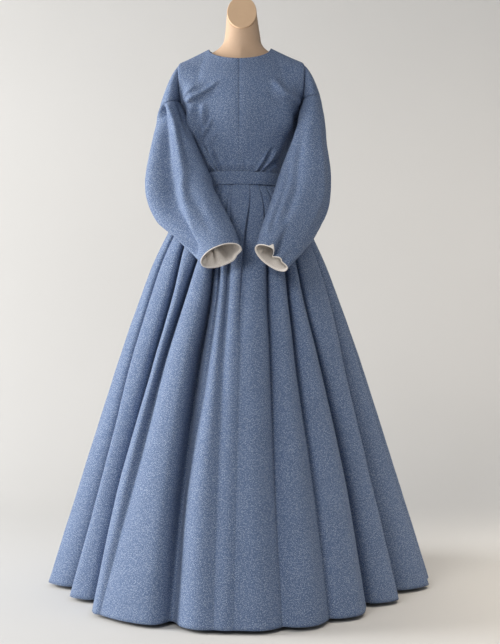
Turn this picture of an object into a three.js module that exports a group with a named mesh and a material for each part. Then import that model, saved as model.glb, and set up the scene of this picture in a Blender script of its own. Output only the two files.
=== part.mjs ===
// A long-sleeved day dress on a limbless dress form.
// Millimetres, +Z up, the front toward -Y. The wearer's right side lies toward -X.
// The origin is on the floor, in the middle of the hem's outline.
//
// Every piece of cloth is a thin closed wall. Its outer face is a grid of points on a surface,
// and its inner face is the same grid moved in by the cloth's thickness.

import * as THREE from "three";

// ---------------------------------------------------------------- driving sizes

const CLOTH = 1.6; // thickness of the printed cotton
const LINING = 1.2; // thickness of the cuff lining
const SEAM_GAP = 0.3; // space between two pieces that are sewn together

const HEM_HEIGHT = 10; // the hem's clearance from the floor
const BAND = { low: 1068, high: 1103, halfWidth: 118, halfDepth: 90, thickness: 2.4, proud: 0.8 };

const NECK_FRONT = { y: -71, z: 1404 }; // the neckline's lowest point, at the centre front
const NECK_BACK = { y: 60, z: 1437 }; // its point at the centre back
const ARMHOLE_DEPTH = 58; // half of the natural armhole, front to back
const ARMHOLE_BOW = 7; // how far the armhole's front and back edges curve outward
const ARMSCYE_DEPTH = 74; // half of the dropped armhole seam, front to back
const CAP_FULLNESS = 0.15; // how far the shoulder cap swells between those two rings

const FLUTE_POWER = 0.8; // across a skirt flute: the lower it is, the broader the crest
const NECKLINE_POWER = 1.7; // how late the rows above the armpit bend to the neckline
const BELL_SHARPNESS = 2.5; // how soon a fold fades to its sides

const COLUMNS = { lobe: 4, torso: 9, band: 36, form: 28, round: 40 };
const ROWS = { belowArmpit: 5, aboveArmpit: 10, cap: 3, neckTop: 3 };
const SLEEVE_ROWS = [0, 0.125, 0.25, 0.375, 0.5, 0.563, 0.625, 0.75, 0.84, 0.92, 1]; // shares of its length
const LINING_INSET = 2.4; // from the sleeve's outer face to the cuff lining's

const STAND = { baseRadius: 190, baseThick: 8, bevel: 3, poleRadius: 14, poleTop: 842, footing: 26 };

const MATERIALS = {
  blue: { color: 0x65728c, roughness: 0.85, metalness: 0 },
  cream: { color: 0xd9cfc4, roughness: 0.9, metalness: 0 },
  form: { color: 0xc9aa87, roughness: 0.6, metalness: 0 },
  steel: { color: 0x6f7276, roughness: 0.45, metalness: 0.8 },
};

// ---------------------------------------------------------------- tables

// The skirt's outline at each height. A power of 2 is an ellipse, a lower one nears a diamond.
const SKIRT_LEVELS = [
  { z: BAND.low, halfWidth: BAND.halfWidth, halfDepth: BAND.halfDepth, power: 2.0 },
  { z: 1040, halfWidth: 139, halfDepth: 114, power: 2.0 },
  { z: 1000, halfWidth: 168, halfDepth: 142, power: 2.0 },
  { z: 948, halfWidth: 193, halfDepth: 172, power: 1.98 },
  { z: 870, halfWidth: 230, halfDepth: 220, power: 1.94 },
  { z: 766, halfWidth: 271, halfDepth: 264, power: 1.88 },
  { z: 631, halfWidth: 320, halfDepth: 315, power: 1.8 },
  { z: 415, halfWidth: 389, halfDepth: 384, power: 1.7 },
  { z: 200, halfWidth: 457, halfDepth: 451, power: 1.64 },
  { z: HEM_HEIGHT, halfWidth: 517, halfDepth: 512, power: 1.6 },
];

// The valleys between the skirt's flutes, anticlockwise from above and from the right side's front.
// Each row has the valley's angle from the centre front in degrees, and its depth, at four heights.
const FOLD_HEIGHTS = { waist: BAND.low, hip: 860, knee: 515, hem: HEM_HEIGHT };
const SKIRT_FOLDS = [
  { waist: -66, hip: -65, knee: -66, hem: -63, waistDeep: 1, hipDeep: 13, kneeDeep: 17, hemDeep: 20 },
  { waist: -51, hip: -46, knee: -48, hem: -47, waistDeep: 1, hipDeep: 12, kneeDeep: 19, hemDeep: 24 },
  { waist: -37, hip: -28, knee: -35, hem: -38, waistDeep: 1, hipDeep: 14, kneeDeep: 13, hemDeep: 5 },
  { waist: -21, hip: -16, knee: -19, hem: -21, waistDeep: 4, hipDeep: 20, kneeDeep: 24, hemDeep: 13 },
  { waist: -4, hip: -6, knee: -7, hem: -7, waistDeep: 1, hipDeep: 7, kneeDeep: 9, hemDeep: 7 },
  { waist: 17, hip: 2, knee: 2, hem: 2, waistDeep: 4, hipDeep: 8, kneeDeep: 1, hemDeep: 1 },
  { waist: 28, hip: 18, knee: 13, hem: 12, waistDeep: 1, hipDeep: 19, kneeDeep: 22, hemDeep: 15 },
  { waist: 39, hip: 29, knee: 26, hem: 25, waistDeep: 4, hipDeep: 20, kneeDeep: 24, hemDeep: 18 },
  { waist: 50, hip: 38, knee: 39, hem: 37, waistDeep: 1, hipDeep: 13, kneeDeep: 21, hemDeep: 25 },
  { waist: 63, hip: 64, knee: 56, hem: 52, waistDeep: 1, hipDeep: 16, kneeDeep: 20, hemDeep: 24 },
  { waist: 77, hip: 78, knee: 73, hem: 67, waistDeep: 2, hipDeep: 13, kneeDeep: 16, hemDeep: 20 },
  { waist: 92, hip: 92, knee: 88, hem: 82, waistDeep: 1, hipDeep: 12, kneeDeep: 18, hemDeep: 17 },
  { waist: 106, hip: 104, knee: 101, hem: 95, waistDeep: 2, hipDeep: 15, kneeDeep: 16, hemDeep: 22 },
  { waist: 121, hip: 120, knee: 117, hem: 112, waistDeep: 1, hipDeep: 17, kneeDeep: 23, hemDeep: 18 },
  { waist: 134, hip: 133, knee: 130, hem: 127, waistDeep: 3, hipDeep: 12, kneeDeep: 15, hemDeep: 21 },
  { waist: 148, hip: 149, knee: 147, hem: 144, waistDeep: 1, hipDeep: 18, kneeDeep: 22, hemDeep: 19 },
  { waist: 163, hip: 162, knee: 160, hem: 158, waistDeep: 4, hipDeep: 20, kneeDeep: 21, hemDeep: 14 },
  { waist: 176, hip: 177, knee: 176, hem: 175, waistDeep: 1, hipDeep: 11, kneeDeep: 13, hemDeep: 12 },
  { waist: 190, hip: 191, knee: 192, hem: 193, waistDeep: 4, hipDeep: 19, kneeDeep: 23, hemDeep: 19 },
  { waist: 204, hip: 203, knee: 205, hem: 206, waistDeep: 1, hipDeep: 16, kneeDeep: 19, hemDeep: 23 },
  { waist: 218, hip: 219, knee: 221, hem: 223, waistDeep: 3, hipDeep: 13, kneeDeep: 16, hemDeep: 18 },
  { waist: 231, hip: 232, knee: 234, hem: 237, waistDeep: 1, hipDeep: 17, kneeDeep: 22, hemDeep: 21 },
  { waist: 245, hip: 245, knee: 248, hem: 251, waistDeep: 2, hipDeep: 12, kneeDeep: 15, hemDeep: 17 },
  { waist: 258, hip: 259, knee: 260, hem: 266, waistDeep: 1, hipDeep: 15, kneeDeep: 19, hemDeep: 22 },
  { waist: 276, hip: 277, knee: 277, hem: 280, waistDeep: 2, hipDeep: 12, kneeDeep: 15, hemDeep: 17 },
];

// The skirt's four breadths, each from one valley to another.
const SKIRT_PANELS = [
  { name: "skirt_front", from: 1, to: 9 },
  { name: "skirt_side_left", from: 9, to: 15 },
  { name: "skirt_back", from: 15, to: 20 },
  { name: "skirt_side_right", from: 20, to: 26 },
];
const SKIRT_ROW_HEIGHTS = [BAND.low, 1040, 1000, 940, 860, 740, 590, 415, 220, HEM_HEIGHT];

// The bodice's centre lines. A rise of 0 is the waist, 1 the armpit's level and 2 the neck.
const CENTRE_FRONT = [
  { rise: 0, y: -90, z: 1103 },
  { rise: 0.5, y: -107, z: 1190 },
  { rise: 1, y: -119, z: 1276 },
  { rise: 1.5, y: -107, z: 1342 },
  { rise: 2, ...NECK_FRONT },
];
const CENTRE_BACK = [
  { rise: 0, y: 90, z: 1103 },
  { rise: 0.5, y: 97, z: 1192 },
  { rise: 1, y: 112, z: 1282 },
  { rise: 1.5, y: 106, z: 1362 },
  { rise: 2, ...NECK_BACK },
];

// Each side of the bodice and its sleeve. "out" is the distance from the centre plane.
// A sleeve row is a ring: its middle, the drop of its outer edge in degrees, its half width
// in that direction, and its depth in front of and behind the middle.
const SIDES = [
  {
    name: "right",
    sign: -1,
    waist: { out: 118, z: 1103 },
    ribs: { out: 134, z: 1212 },
    armpit: { out: 152, z: 1290 },
    neck: { out: 83, z: 1443 },
    tip: { out: 164, z: 1402 },
    capOuter: { out: 216, z: 1281 },
    capInner: { out: 163, z: 1298 },
    sleeve: [
      { out: 179.5, y: -38, z: 1228, drop: 4, wide: 45.5, front: 66, back: 56 },
      { out: 173, y: -64, z: 1172, drop: 2, wide: 61, front: 64, back: 40 },
      { out: 165, y: -87, z: 1102, drop: 5, wide: 81, front: 62, back: 38 },
      { out: 156, y: -114, z: 1054, drop: 18, wide: 89, front: 57, back: 33 },
      { out: 139, y: -145, z: 1010, drop: 32, wide: 86, front: 51, back: 28 },
      { out: 106, y: -188, z: 969, drop: 36, wide: 75, front: 46, back: 27 },
      { out: 69, y: -234, z: 916, drop: 31, wide: 63, front: 41, back: 27 },
      { out: 42, y: -282, z: 869, drop: 22, wide: 52, front: 36, back: 32 },
    ],
  },
  {
    name: "left",
    sign: 1,
    waist: { out: 118, z: 1103 },
    ribs: { out: 151, z: 1212 },
    armpit: { out: 164, z: 1292 },
    neck: { out: 84, z: 1446 },
    tip: { out: 173, z: 1404 },
    capOuter: { out: 219, z: 1309 },
    capInner: { out: 174, z: 1305 },
    sleeve: [
      { out: 191, y: -40, z: 1228, drop: 0, wide: 37, front: 68, back: 58 },
      { out: 183, y: -62, z: 1172, drop: 0, wide: 49, front: 66, back: 46 },
      { out: 175, y: -84, z: 1102, drop: 5, wide: 66, front: 64, back: 42 },
      { out: 163, y: -114, z: 1032, drop: 22, wide: 74, front: 60, back: 34 },
      { out: 145, y: -156, z: 984, drop: 24, wide: 72, front: 52, back: 28 },
      { out: 126, y: -196, z: 943, drop: 24, wide: 68, front: 46, back: 27 },
      { out: 106, y: -236, z: 906, drop: 26, wide: 60, front: 38, back: 26 },
      { out: 80, y: -280, z: 864, drop: 37, wide: 47, front: 30, back: 26 },
    ],
  },
];

// Long soft folds of the sleeves: the angle from the outer edge toward the front, the stretch
// of the sleeve, the fold's half width in degrees and its height.
const SLEEVE_FOLDS = [
  { side: "right", angle: 58, from: 0.05, to: 1.0, spread: 24, height: 7 },
  { side: "right", angle: 24, from: 0.1, to: 0.8, spread: 20, height: -6 },
  { side: "right", angle: 250, from: 0.2, to: 0.9, spread: 26, height: 6 },
  { side: "left", angle: 118, from: 0.1, to: 0.95, spread: 26, height: 6 },
  { side: "left", angle: 72, from: 0.3, to: 0.9, spread: 22, height: -5 },
  { side: "left", angle: 240, from: 0.2, to: 0.9, spread: 26, height: 6 },
];

// The bodice front's largest folds, as seen from the front: two ends, half width and depth.
const BODICE_FOLDS = [
  { x0: -72, z0: 1106, x1: -82, z1: 1180, spread: 15, depth: 7 },
  { x0: -100, z0: 1106, x1: -108, z1: 1165, spread: 14, depth: 7 },
  { x0: 54, z0: 1106, x1: 88, z1: 1190, spread: 15, depth: 7 },
  { x0: 88, z0: 1108, x1: 112, z1: 1168, spread: 14, depth: 7 },
  { x0: -58, z0: 1352, x1: -132, z1: 1288, spread: 20, depth: -6 },
  { x0: 72, z0: 1352, x1: 140, z1: 1282, spread: 20, depth: -6 },
];

// The form's rings, from its lower edge to the shoulders. x is the middle of the neck's lean.
const FORM_RINGS = [
  { x: 0, z: 842, halfWidth: 138, halfDepth: 92, power: 2.2 },
  { x: 0, z: 848, halfWidth: 145, halfDepth: 99, power: 2.2 },
  { x: 0, z: 910, halfWidth: 148, halfDepth: 108, power: 2.2 },
  { x: 0, z: 980, halfWidth: 134, halfDepth: 104, power: 2.1 },
  { x: 0, z: 1040, halfWidth: 112, halfDepth: 84, power: 2.0 },
  { x: 0, z: 1070, halfWidth: 108, halfDepth: 78, power: 2.0 },
  { x: 0, z: 1115, halfWidth: 107, halfDepth: 79, power: 2.0 },
  { x: 0, z: 1200, halfWidth: 114, halfDepth: 93, power: 2.0 },
  { x: 0, z: 1265, halfWidth: 124, halfDepth: 101, power: 2.0 },
  { x: 0, z: 1310, halfWidth: 134, halfDepth: 95, power: 2.0 },
  { x: 0, z: 1350, halfWidth: 144, halfDepth: 84, power: 2.0 },
  { x: 1, z: 1378, halfWidth: 147, halfDepth: 72, power: 2.0 },
  { x: 2, z: 1396, halfWidth: 140, halfDepth: 63, power: 1.6 },
  { x: 3, z: 1412, halfWidth: 118, halfDepth: 57, power: 1.4 },
  { x: 4, z: 1427, halfWidth: 92, halfDepth: 53, power: 1.4 },
  { x: 6, z: 1440, halfWidth: 68, halfDepth: 50, power: 1.7 },
  { x: 7, z: 1456, halfWidth: 53, halfDepth: 48, power: 2.0 },
  { x: 8, z: 1476, halfWidth: 48, halfDepth: 46, power: 2.0 },
];
const NECK_TOP = { x: 6, z: 1541, halfWidth: 40, halfDepth: 42, slope: 46, capThick: 5, capEdge: 2 };

// ---------------------------------------------------------------- small tools

const radians = THREE.MathUtils.degToRad;
const lerp = THREE.MathUtils.lerp;
const clamp = THREE.MathUtils.clamp;
const point = (x, y, z) => new THREE.Vector3(x, y, z);
const steps = (count, from = 0, to = 1) =>
  Array.from({ length: count + 1 }, (_, i) => lerp(from, to, i / count));

// A smooth curve through the rows of a table: the value of one column at a place on its key.
function valueAt(rows, key, place, column) {
  const order = Math.sign(rows[rows.length - 1][key] - rows[0][key]);
  let i = 0;
  while (i < rows.length - 2 && (rows[i + 1][key] - place) * order < 0) i += 1;
  const slopeAt = (k) => {
    const a = rows[Math.max(k - 1, 0)];
    const b = rows[Math.min(k + 1, rows.length - 1)];
    return (b[column] - a[column]) / (b[key] - a[key]);
  };
  const [a, b] = [rows[i], rows[i + 1]];
  const span = b[key] - a[key];
  const t = clamp((place - a[key]) / span, 0, 1);
  const rise = b[column] - a[column];
  const [s0, s1] = [slopeAt(i) * span, slopeAt(i + 1) * span];
  return a[column] + t * s0 + t * t * (3 * rise - 2 * s0 - s1) + t ** 3 * (s0 + s1 - 2 * rise);
}

// The distance from an upright axis to an outline, at an angle from the front.
function outlineRadius(angle, halfWidth, halfDepth, power) {
  const across = Math.abs(Math.sin(angle) / halfWidth) ** power;
  const deep = Math.abs(Math.cos(angle) / halfDepth) ** power;
  return (across + deep) ** (-1 / power);
}

const aroundAxis = (angle, radius, z) => point(radius * Math.sin(angle), -radius * Math.cos(angle), z);

// A bell-shaped weight, 1 at the middle of a fold and near 0 at its spread.
const bell = (distance, spread) => Math.exp(-BELL_SHARPNESS * (distance / spread) ** 2);

// ---------------------------------------------------------------- cloth walls

const keyOf = (p) => `${Math.round(p.x * 50)},${Math.round(p.y * 50)},${Math.round(p.z * 50)}`;

// A grid has rows of points; seen from outside, columns run rightward and rows run upward.
function gridOf(columns, rows, surface) {
  return rows.map((v) => columns.map((u) => surface(u, v)));
}

// The corners of each cell of a grid, anticlockwise from outside.
function cellsOf(grid) {
  const cells = [];
  for (let j = 0; j < grid.length - 1; j += 1)
    for (let i = 0; i < grid[j].length - 1; i += 1)
      cells.push([grid[j][i], grid[j][i + 1], grid[j + 1][i + 1], grid[j + 1][i]]);
  return cells;
}

// The outward normals of several grids taken together, so that pieces sewn edge to edge agree.
function sharedNormals(grids) {
  const normals = new Map();
  for (const corners of grids.flatMap(cellsOf)) {
    const across = corners[2].clone().sub(corners[0]);
    const up = corners[3].clone().sub(corners[1]);
    const normal = across.cross(up).normalize();
    for (const corner of corners) {
      const key = keyOf(corner);
      normals.set(key, (normals.get(key) ?? point(0, 0, 0)).add(normal));
    }
  }
  for (const normal of normals.values()) normal.normalize();
  return normals;
}

// A closed wall from the grids of one piece. Its edges stop half a seam gap inside the grids' edges.
// A cell of its rim is cut from the point that comes first by key, so that two rims that face each
// other along a seam are cut alike.
function clothWall(grids, normals, thickness) {
  const places = new Map();
  const outer = [];
  const facing = [];
  const keys = [];
  const indexOf = (p) => {
    const key = keyOf(p);
    if (!places.has(key)) {
      places.set(key, outer.length);
      outer.push(p.clone());
      facing.push(normals.get(key));
      keys.push(key);
    }
    return places.get(key);
  };
  const cells = grids.flatMap(cellsOf).map((corners) => corners.map(indexOf));

  const edges = new Map();
  for (const cell of cells)
    cell.forEach((a, i) => {
      const b = cell[(i + 1) % 4];
      if (edges.has(`${b}>${a}`)) edges.delete(`${b}>${a}`);
      else edges.set(`${a}>${b}`, [a, b]);
    });

  const inward = new Map();
  for (const [a, b] of edges.values()) {
    const along = outer[b].clone().sub(outer[a]).normalize();
    for (const end of [a, b]) {
      const side = facing[end].clone().cross(along).normalize();
      inward.set(end, [...(inward.get(end) ?? []), side]);
    }
  }
  for (const [index, sides] of inward) {
    const middle = sides.reduce((sum, side) => sum.add(side), point(0, 0, 0)).normalize();
    const reach = SEAM_GAP / 2 / Math.max(middle.dot(sides[0]), 0.5);
    outer[index].addScaledVector(middle, reach);
  }

  const inner = outer.map((p, i) => p.clone().addScaledVector(facing[i], -thickness));
  const count = outer.length;
  const faces = [];
  for (const [a, b, c, d] of cells) {
    faces.push(a, b, c, a, c, d);
    faces.push(count + a, count + c, count + b, count + a, count + d, count + c);
  }
  for (const [a, b] of edges.values()) {
    if (keys[a] < keys[b]) faces.push(a, count + a, count + b, a, count + b, b);
    else faces.push(a, count + a, b, b, count + a, count + b);
  }
  return geometryOf([...outer, ...inner], faces);
}

function geometryOf(points, faces) {
  const geometry = new THREE.BufferGeometry().setFromPoints(points);
  geometry.setIndex(faces);
  geometry.computeVertexNormals();
  return geometry;
}

// ---------------------------------------------------------------- the skirt

// A fold's angle or depth at a height, from its four stations.
function foldValue(fold, z, suffix) {
  const rows = Object.entries(FOLD_HEIGHTS).map(([station, height]) => ({
    height,
    value: fold[station + suffix],
  }));
  return valueAt(rows, "height", z, "value");
}

// A valley by its number; past the last one the numbering goes round again.
function valleyAt(number, z) {
  const turns = Math.floor(number / SKIRT_FOLDS.length);
  const fold = SKIRT_FOLDS[number - turns * SKIRT_FOLDS.length];
  return { angle: foldValue(fold, z, "") + 360 * turns, depth: foldValue(fold, z, "Deep") };
}

// A point on the skirt: "place" counts valleys, and its fraction runs across the flute between two.
function skirtPoint(place, z) {
  const before = Math.floor(place + 1e-6);
  const share = place - before;
  const [left, right] = [valleyAt(before, z), valleyAt(before + 1, z)];
  const angle = radians(lerp(left.angle, right.angle, share));
  const hollow = 1 - Math.sin(Math.PI * clamp(share, 0, 1)) ** FLUTE_POWER;
  const level = (column) => valueAt(SKIRT_LEVELS, "z", z, column);
  const radius = outlineRadius(angle, level("halfWidth"), level("halfDepth"), level("power"));
  return aroundAxis(angle, radius - lerp(left.depth, right.depth, share) * hollow, z);
}

function skirtPieces() {
  const heights = SKIRT_ROW_HEIGHTS.slice().reverse();
  const grids = SKIRT_PANELS.map(({ from, to }) =>
    gridOf(steps((to - from) * COLUMNS.lobe, from, to), heights, skirtPoint),
  );
  const normals = sharedNormals(grids);
  return SKIRT_PANELS.map(({ name }, i) => ({ name, geometry: clothWall([grids[i]], normals, CLOTH) }));
}

// ---------------------------------------------------------------- the waistband

function waistband() {
  const turn = steps(COLUMNS.band, 0, 2 * Math.PI).map((angle) => angle % (2 * Math.PI));
  const surface = (angle, z) =>
    point(
      (BAND.halfWidth + BAND.proud) * Math.sin(angle),
      -(BAND.halfDepth + BAND.proud) * Math.cos(angle),
      z,
    );
  const grid = gridOf(turn, [BAND.low, BAND.high], surface);
  return clothWall([grid], sharedNormals([grid]), BAND.thickness);
}

// ---------------------------------------------------------------- the bodice

// The natural armhole, where the chest meets the shoulder cap. An angle of 0 is the shoulder
// tip and 180 the armpit; "face" is -1 for the front and 1 for the back.
function armholePoint(side, face, angle) {
  const turn = radians(angle);
  const out = lerp(side.armpit.out, side.tip.out, (1 + Math.cos(turn)) / 2);
  const z = lerp(side.armpit.z, side.tip.z, (1 + Math.cos(turn)) / 2);
  const bow = ARMHOLE_BOW * Math.sin(turn);
  return point(side.sign * (out + bow), face * ARMHOLE_DEPTH * Math.sin(turn), z);
}

// The dropped armhole seam, where the cap meets the sleeve, by the same angle.
function armscyePoint(side, face, angle) {
  const turn = radians(angle);
  const out = lerp(side.capInner.out, side.capOuter.out, (1 + Math.cos(turn)) / 2);
  const z = lerp(side.capInner.z, side.capOuter.z, (1 + Math.cos(turn)) / 2);
  return point(side.sign * out, face * ARMSCYE_DEPTH * Math.sin(turn), z);
}

// The shoulder cap between those two rings; it swells most over the shoulder.
function capPoint(side, face, angle, along) {
  const start = armholePoint(side, face, angle);
  const end = armscyePoint(side, face, angle);
  const middle = armholePoint(side, face, 0)
    .add(armholePoint(side, face, 180))
    .lerp(armscyePoint(side, face, 0).add(armscyePoint(side, face, 180)), along)
    .multiplyScalar(0.5);
  const over = (1 + Math.cos(radians(angle))) / 2;
  const swell = 1 + CAP_FULLNESS * Math.sin(Math.PI * along) * over;
  return start.lerp(end, along).sub(middle).multiplyScalar(swell).add(middle);
}

// The bodice's side line from the waist to the armpit.
function sidePoint(side, rise) {
  const rows = [
    { rise: 0, ...side.waist },
    { rise: 0.6, ...side.ribs },
    { rise: 1, ...side.armpit },
  ];
  return point(side.sign * valueAt(rows, "rise", rise, "out"), 0, valueAt(rows, "rise", rise, "z"));
}

// The neckline and the shoulder seam: u of 0 is the centre, 0.5 the neck point, 1 the tip.
function topEdgePoint(side, centre, u) {
  if (u > 0.5) {
    const share = (u - 0.5) / 0.5;
    const out = lerp(side.neck.out, side.tip.out, share);
    return point(side.sign * out, 0, lerp(side.neck.z, side.tip.z, share));
  }
  const turn = Math.PI * u;
  const z = lerp(side.neck.z, centre.z, Math.cos(turn));
  return point(side.sign * side.neck.out * Math.sin(turn), centre.y * Math.cos(turn), z);
}

// A quarter of the bodice without its cap: u runs from the centre line to the side.
function torsoPoint(side, face, u, rise) {
  const line = face < 0 ? CENTRE_FRONT : CENTRE_BACK;
  const neck = face < 0 ? NECK_FRONT : NECK_BACK;
  const quarter = (Math.PI / 2) * u;
  const arc = (centre, edge) =>
    point(
      edge.x * Math.sin(quarter),
      lerp(edge.y, centre.y, Math.cos(quarter)),
      lerp(centre.z, edge.z, 1 - Math.cos(quarter)),
    );
  const centre = point(0, valueAt(line, "rise", rise, "y"), valueAt(line, "rise", rise, "z"));
  const edge = rise <= 1 ? sidePoint(side, rise) : armholePoint(side, face, 180 * (2 - rise));
  const place = arc(centre, edge);
  if (rise > 1) {
    const topArc = arc(point(0, neck.y, neck.z), armholePoint(side, face, 0));
    const lift = topEdgePoint(side, neck, u).sub(topArc);
    place.addScaledVector(lift, (rise - 1) ** NECKLINE_POWER);
  }
  if (face < 0) place.y += bodiceFoldDepth(place.x, place.z) * Math.cos(quarter);
  return place;
}

// How far the front's folds push the cloth in, at a place seen from the front.
function bodiceFoldDepth(x, z) {
  const place = point(x, 0, z);
  const nearest = point(0, 0, 0);
  return BODICE_FOLDS.reduce((sum, fold) => {
    const line = new THREE.Line3(point(fold.x0, 0, fold.z0), point(fold.x1, 0, fold.z1));
    line.closestPointToPoint(place, true, nearest);
    return sum + fold.depth * bell(place.distanceTo(nearest), fold.spread);
  }, 0);
}

// One quarter's two grids, the torso and the cap, which meet along the natural armhole.
function bodiceQuarter(side, face) {
  const rises = [
    ...steps(ROWS.belowArmpit, 0, 1).slice(0, -1),
    ...steps(ROWS.aboveArmpit, 1, 2),
  ];
  const angles = steps(ROWS.aboveArmpit, 180, 0);
  const us = steps(COLUMNS.torso);
  const alongs = steps(ROWS.cap);
  if (side.sign * face > 0) {
    us.reverse();
    alongs.reverse();
  }
  return [
    gridOf(us, rises, (u, rise) => torsoPoint(side, face, u, rise)),
    gridOf(alongs, angles, (along, angle) => capPoint(side, face, angle, along)),
  ];
}

// ---------------------------------------------------------------- the sleeves

// The sleeve's rings with their axes, the first of them on the armhole seam.
function sleeveRings(side) {
  const { capOuter, capInner } = side;
  const outward = [capOuter.out - capInner.out, capInner.z - capOuter.z];
  const first = {
    out: (capOuter.out + capInner.out) / 2,
    y: 0,
    z: (capOuter.z + capInner.z) / 2,
    drop: THREE.MathUtils.radToDeg(Math.atan2(outward[1], outward[0])),
    wide: Math.hypot(...outward) / 2,
    front: ARMSCYE_DEPTH,
    back: ARMSCYE_DEPTH,
  };
  return [first, ...side.sleeve].map((row, i, rows) => {
    const next = rows[Math.min(i + 1, rows.length - 1)];
    const last = rows[Math.max(i - 1, 0)];
    const along = point(next.out - last.out, next.y - last.y, next.z - last.z).normalize();
    const edge = point(Math.cos(radians(row.drop)), 0, -Math.sin(radians(row.drop)));
    const ahead = i === 0 ? point(0, -1, 0) : along.cross(edge).normalize();
    return { ...row, place: i / (rows.length - 1), ax: ahead.x, ay: ahead.y, az: ahead.z };
  });
}

// How far a sleeve's folds stand out at an angle and a place along it.
function sleeveFoldHeight(side, angle, along) {
  const folds = SLEEVE_FOLDS.filter((fold) => fold.side === side.name);
  return folds.reduce((sum, fold) => {
    const share = clamp((along - fold.from) / (fold.to - fold.from), 0, 1);
    const turn = Math.abs(((angle - fold.angle + 540) % 360) - 180);
    return sum + fold.height * Math.sin(Math.PI * share) * bell(turn, fold.spread);
  }, 0);
}

// A point on a sleeve: 0 degrees is its outer edge, 90 its front; "along" runs from 0 to 1 at the cuff.
function sleevePoint(side, rings, angle, along, inset = 0) {
  const at = (column) => valueAt(rings, "place", along, column);
  const turn = radians(angle);
  const drop = radians(at("drop"));
  const swell = sleeveFoldHeight(side, angle, along) - inset;
  const across = (at("wide") + swell) * Math.cos(turn);
  const depth = at(Math.sin(turn) > 0 ? "front" : "back") + swell;
  const ahead = point(at("ax"), at("ay"), at("az")).multiplyScalar(depth * Math.sin(turn));
  return point(
    side.sign * (at("out") + across * Math.cos(drop) + ahead.x),
    at("y") + ahead.y,
    at("z") - across * Math.sin(drop) + ahead.z,
  );
}

// A sleeve has an upper panel in front and an under panel behind, sewn along both edges.
function sleeveGrids(side) {
  const rings = sleeveRings(side);
  const halfTurn = steps(ROWS.aboveArmpit, 0, 180);
  const alongs = SLEEVE_ROWS.slice().reverse();
  const panel = (angles) => {
    const ordered = side.sign < 0 ? angles : angles.slice().reverse();
    return gridOf(ordered, alongs, (angle, along) => sleevePoint(side, rings, angle % 360, along));
  };
  return { upper: panel(halfTurn), under: panel(halfTurn.map((angle) => angle + 180)) };
}

function cuffLining(side) {
  const rings = sleeveRings(side);
  const turn = steps(2 * ROWS.aboveArmpit, 0, 360).map((angle) => angle % 360);
  const grid = gridOf(
    side.sign < 0 ? turn : turn.reverse(),
    SLEEVE_ROWS.slice(-2).reverse(),
    (angle, along) => sleevePoint(side, rings, angle, along, LINING_INSET),
  );
  return clothWall([grid], sharedNormals([grid]), LINING);
}

// The bodice and the sleeves share their normals where they are sewn together.
function bodiceAndSleeves() {
  const [right, left] = SIDES;
  const pieces = [
    { name: "bodice_front_right", grids: bodiceQuarter(right, -1) },
    { name: "bodice_front_left", grids: bodiceQuarter(left, -1) },
    { name: "bodice_back", grids: [...bodiceQuarter(right, 1), ...bodiceQuarter(left, 1)] },
  ];
  for (const side of SIDES) {
    const { upper, under } = sleeveGrids(side);
    pieces.push({ name: `sleeve_upper_${side.name}`, grids: [upper] });
    pieces.push({ name: `sleeve_under_${side.name}`, grids: [under] });
  }
  const normals = sharedNormals(pieces.flatMap(({ grids }) => grids));
  return pieces.map(({ name, grids }) => ({ name, geometry: clothWall(grids, normals, CLOTH) }));
}

// ---------------------------------------------------------------- the form and its stand

// A closed solid through a stack of rings of equal count, with a fan over each end.
function stackedSolid(rings) {
  const count = rings[0].length;
  const points = rings.flat();
  const faces = [];
  for (let j = 0; j < rings.length - 1; j += 1)
    for (let i = 0; i < count; i += 1) {
      const [a, b] = [j * count + i, j * count + ((i + 1) % count)];
      faces.push(a, b, b + count, a, b + count, a + count);
    }
  const top = points.length - count;
  for (let i = 1; i < count - 1; i += 1) {
    faces.push(0, i + 1, i);
    faces.push(top, top + i, top + i + 1);
  }
  return geometryOf(points, faces);
}

function formRing({ x, z, halfWidth, halfDepth, power }) {
  return steps(COLUMNS.form, 0, 2 * Math.PI)
    .slice(0, -1)
    .map((angle) => aroundAxis(angle, outlineRadius(angle, halfWidth, halfDepth, power), z))
    .map((p) => p.setX(p.x + x));
}

// A ring of the neck's upper end, which slopes up toward the back.
function slopedRing(x, z, halfWidth, halfDepth, slope, lift = 0) {
  const tilt = radians(slope);
  return steps(COLUMNS.form, 0, 2 * Math.PI)
    .slice(0, -1)
    .map((angle) => {
      const y = -halfDepth * Math.cos(angle);
      return point(
        x + halfWidth * Math.sin(angle),
        y - lift * Math.sin(tilt),
        z + y * Math.tan(tilt) + lift * Math.cos(tilt),
      );
    });
}

function formTorso() {
  const last = FORM_RINGS[FORM_RINGS.length - 1];
  const { x, z, halfWidth, halfDepth, slope } = NECK_TOP;
  const neck = steps(ROWS.neckTop)
    .slice(1)
    .map((t) =>
      slopedRing(
        lerp(last.x, x, t),
        lerp(last.z, z, t),
        lerp(last.halfWidth, halfWidth, t),
        lerp(last.halfDepth, halfDepth, t),
        slope * t,
      ),
    );
  return stackedSolid([...FORM_RINGS.map(formRing), ...neck]);
}

function neckCap() {
  const { x, z, halfWidth, halfDepth, slope, capThick, capEdge } = NECK_TOP;
  const ring = (inset, lift) => slopedRing(x, z, halfWidth - inset, halfDepth - inset, slope, lift);
  const rounded = steps(2, 0, Math.PI / 2).map((turn) =>
    ring(capEdge * (1 - Math.cos(turn)), capThick - capEdge * (1 - Math.sin(turn))),
  );
  return stackedSolid([ring(0, SEAM_GAP), ...rounded]);
}

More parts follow.
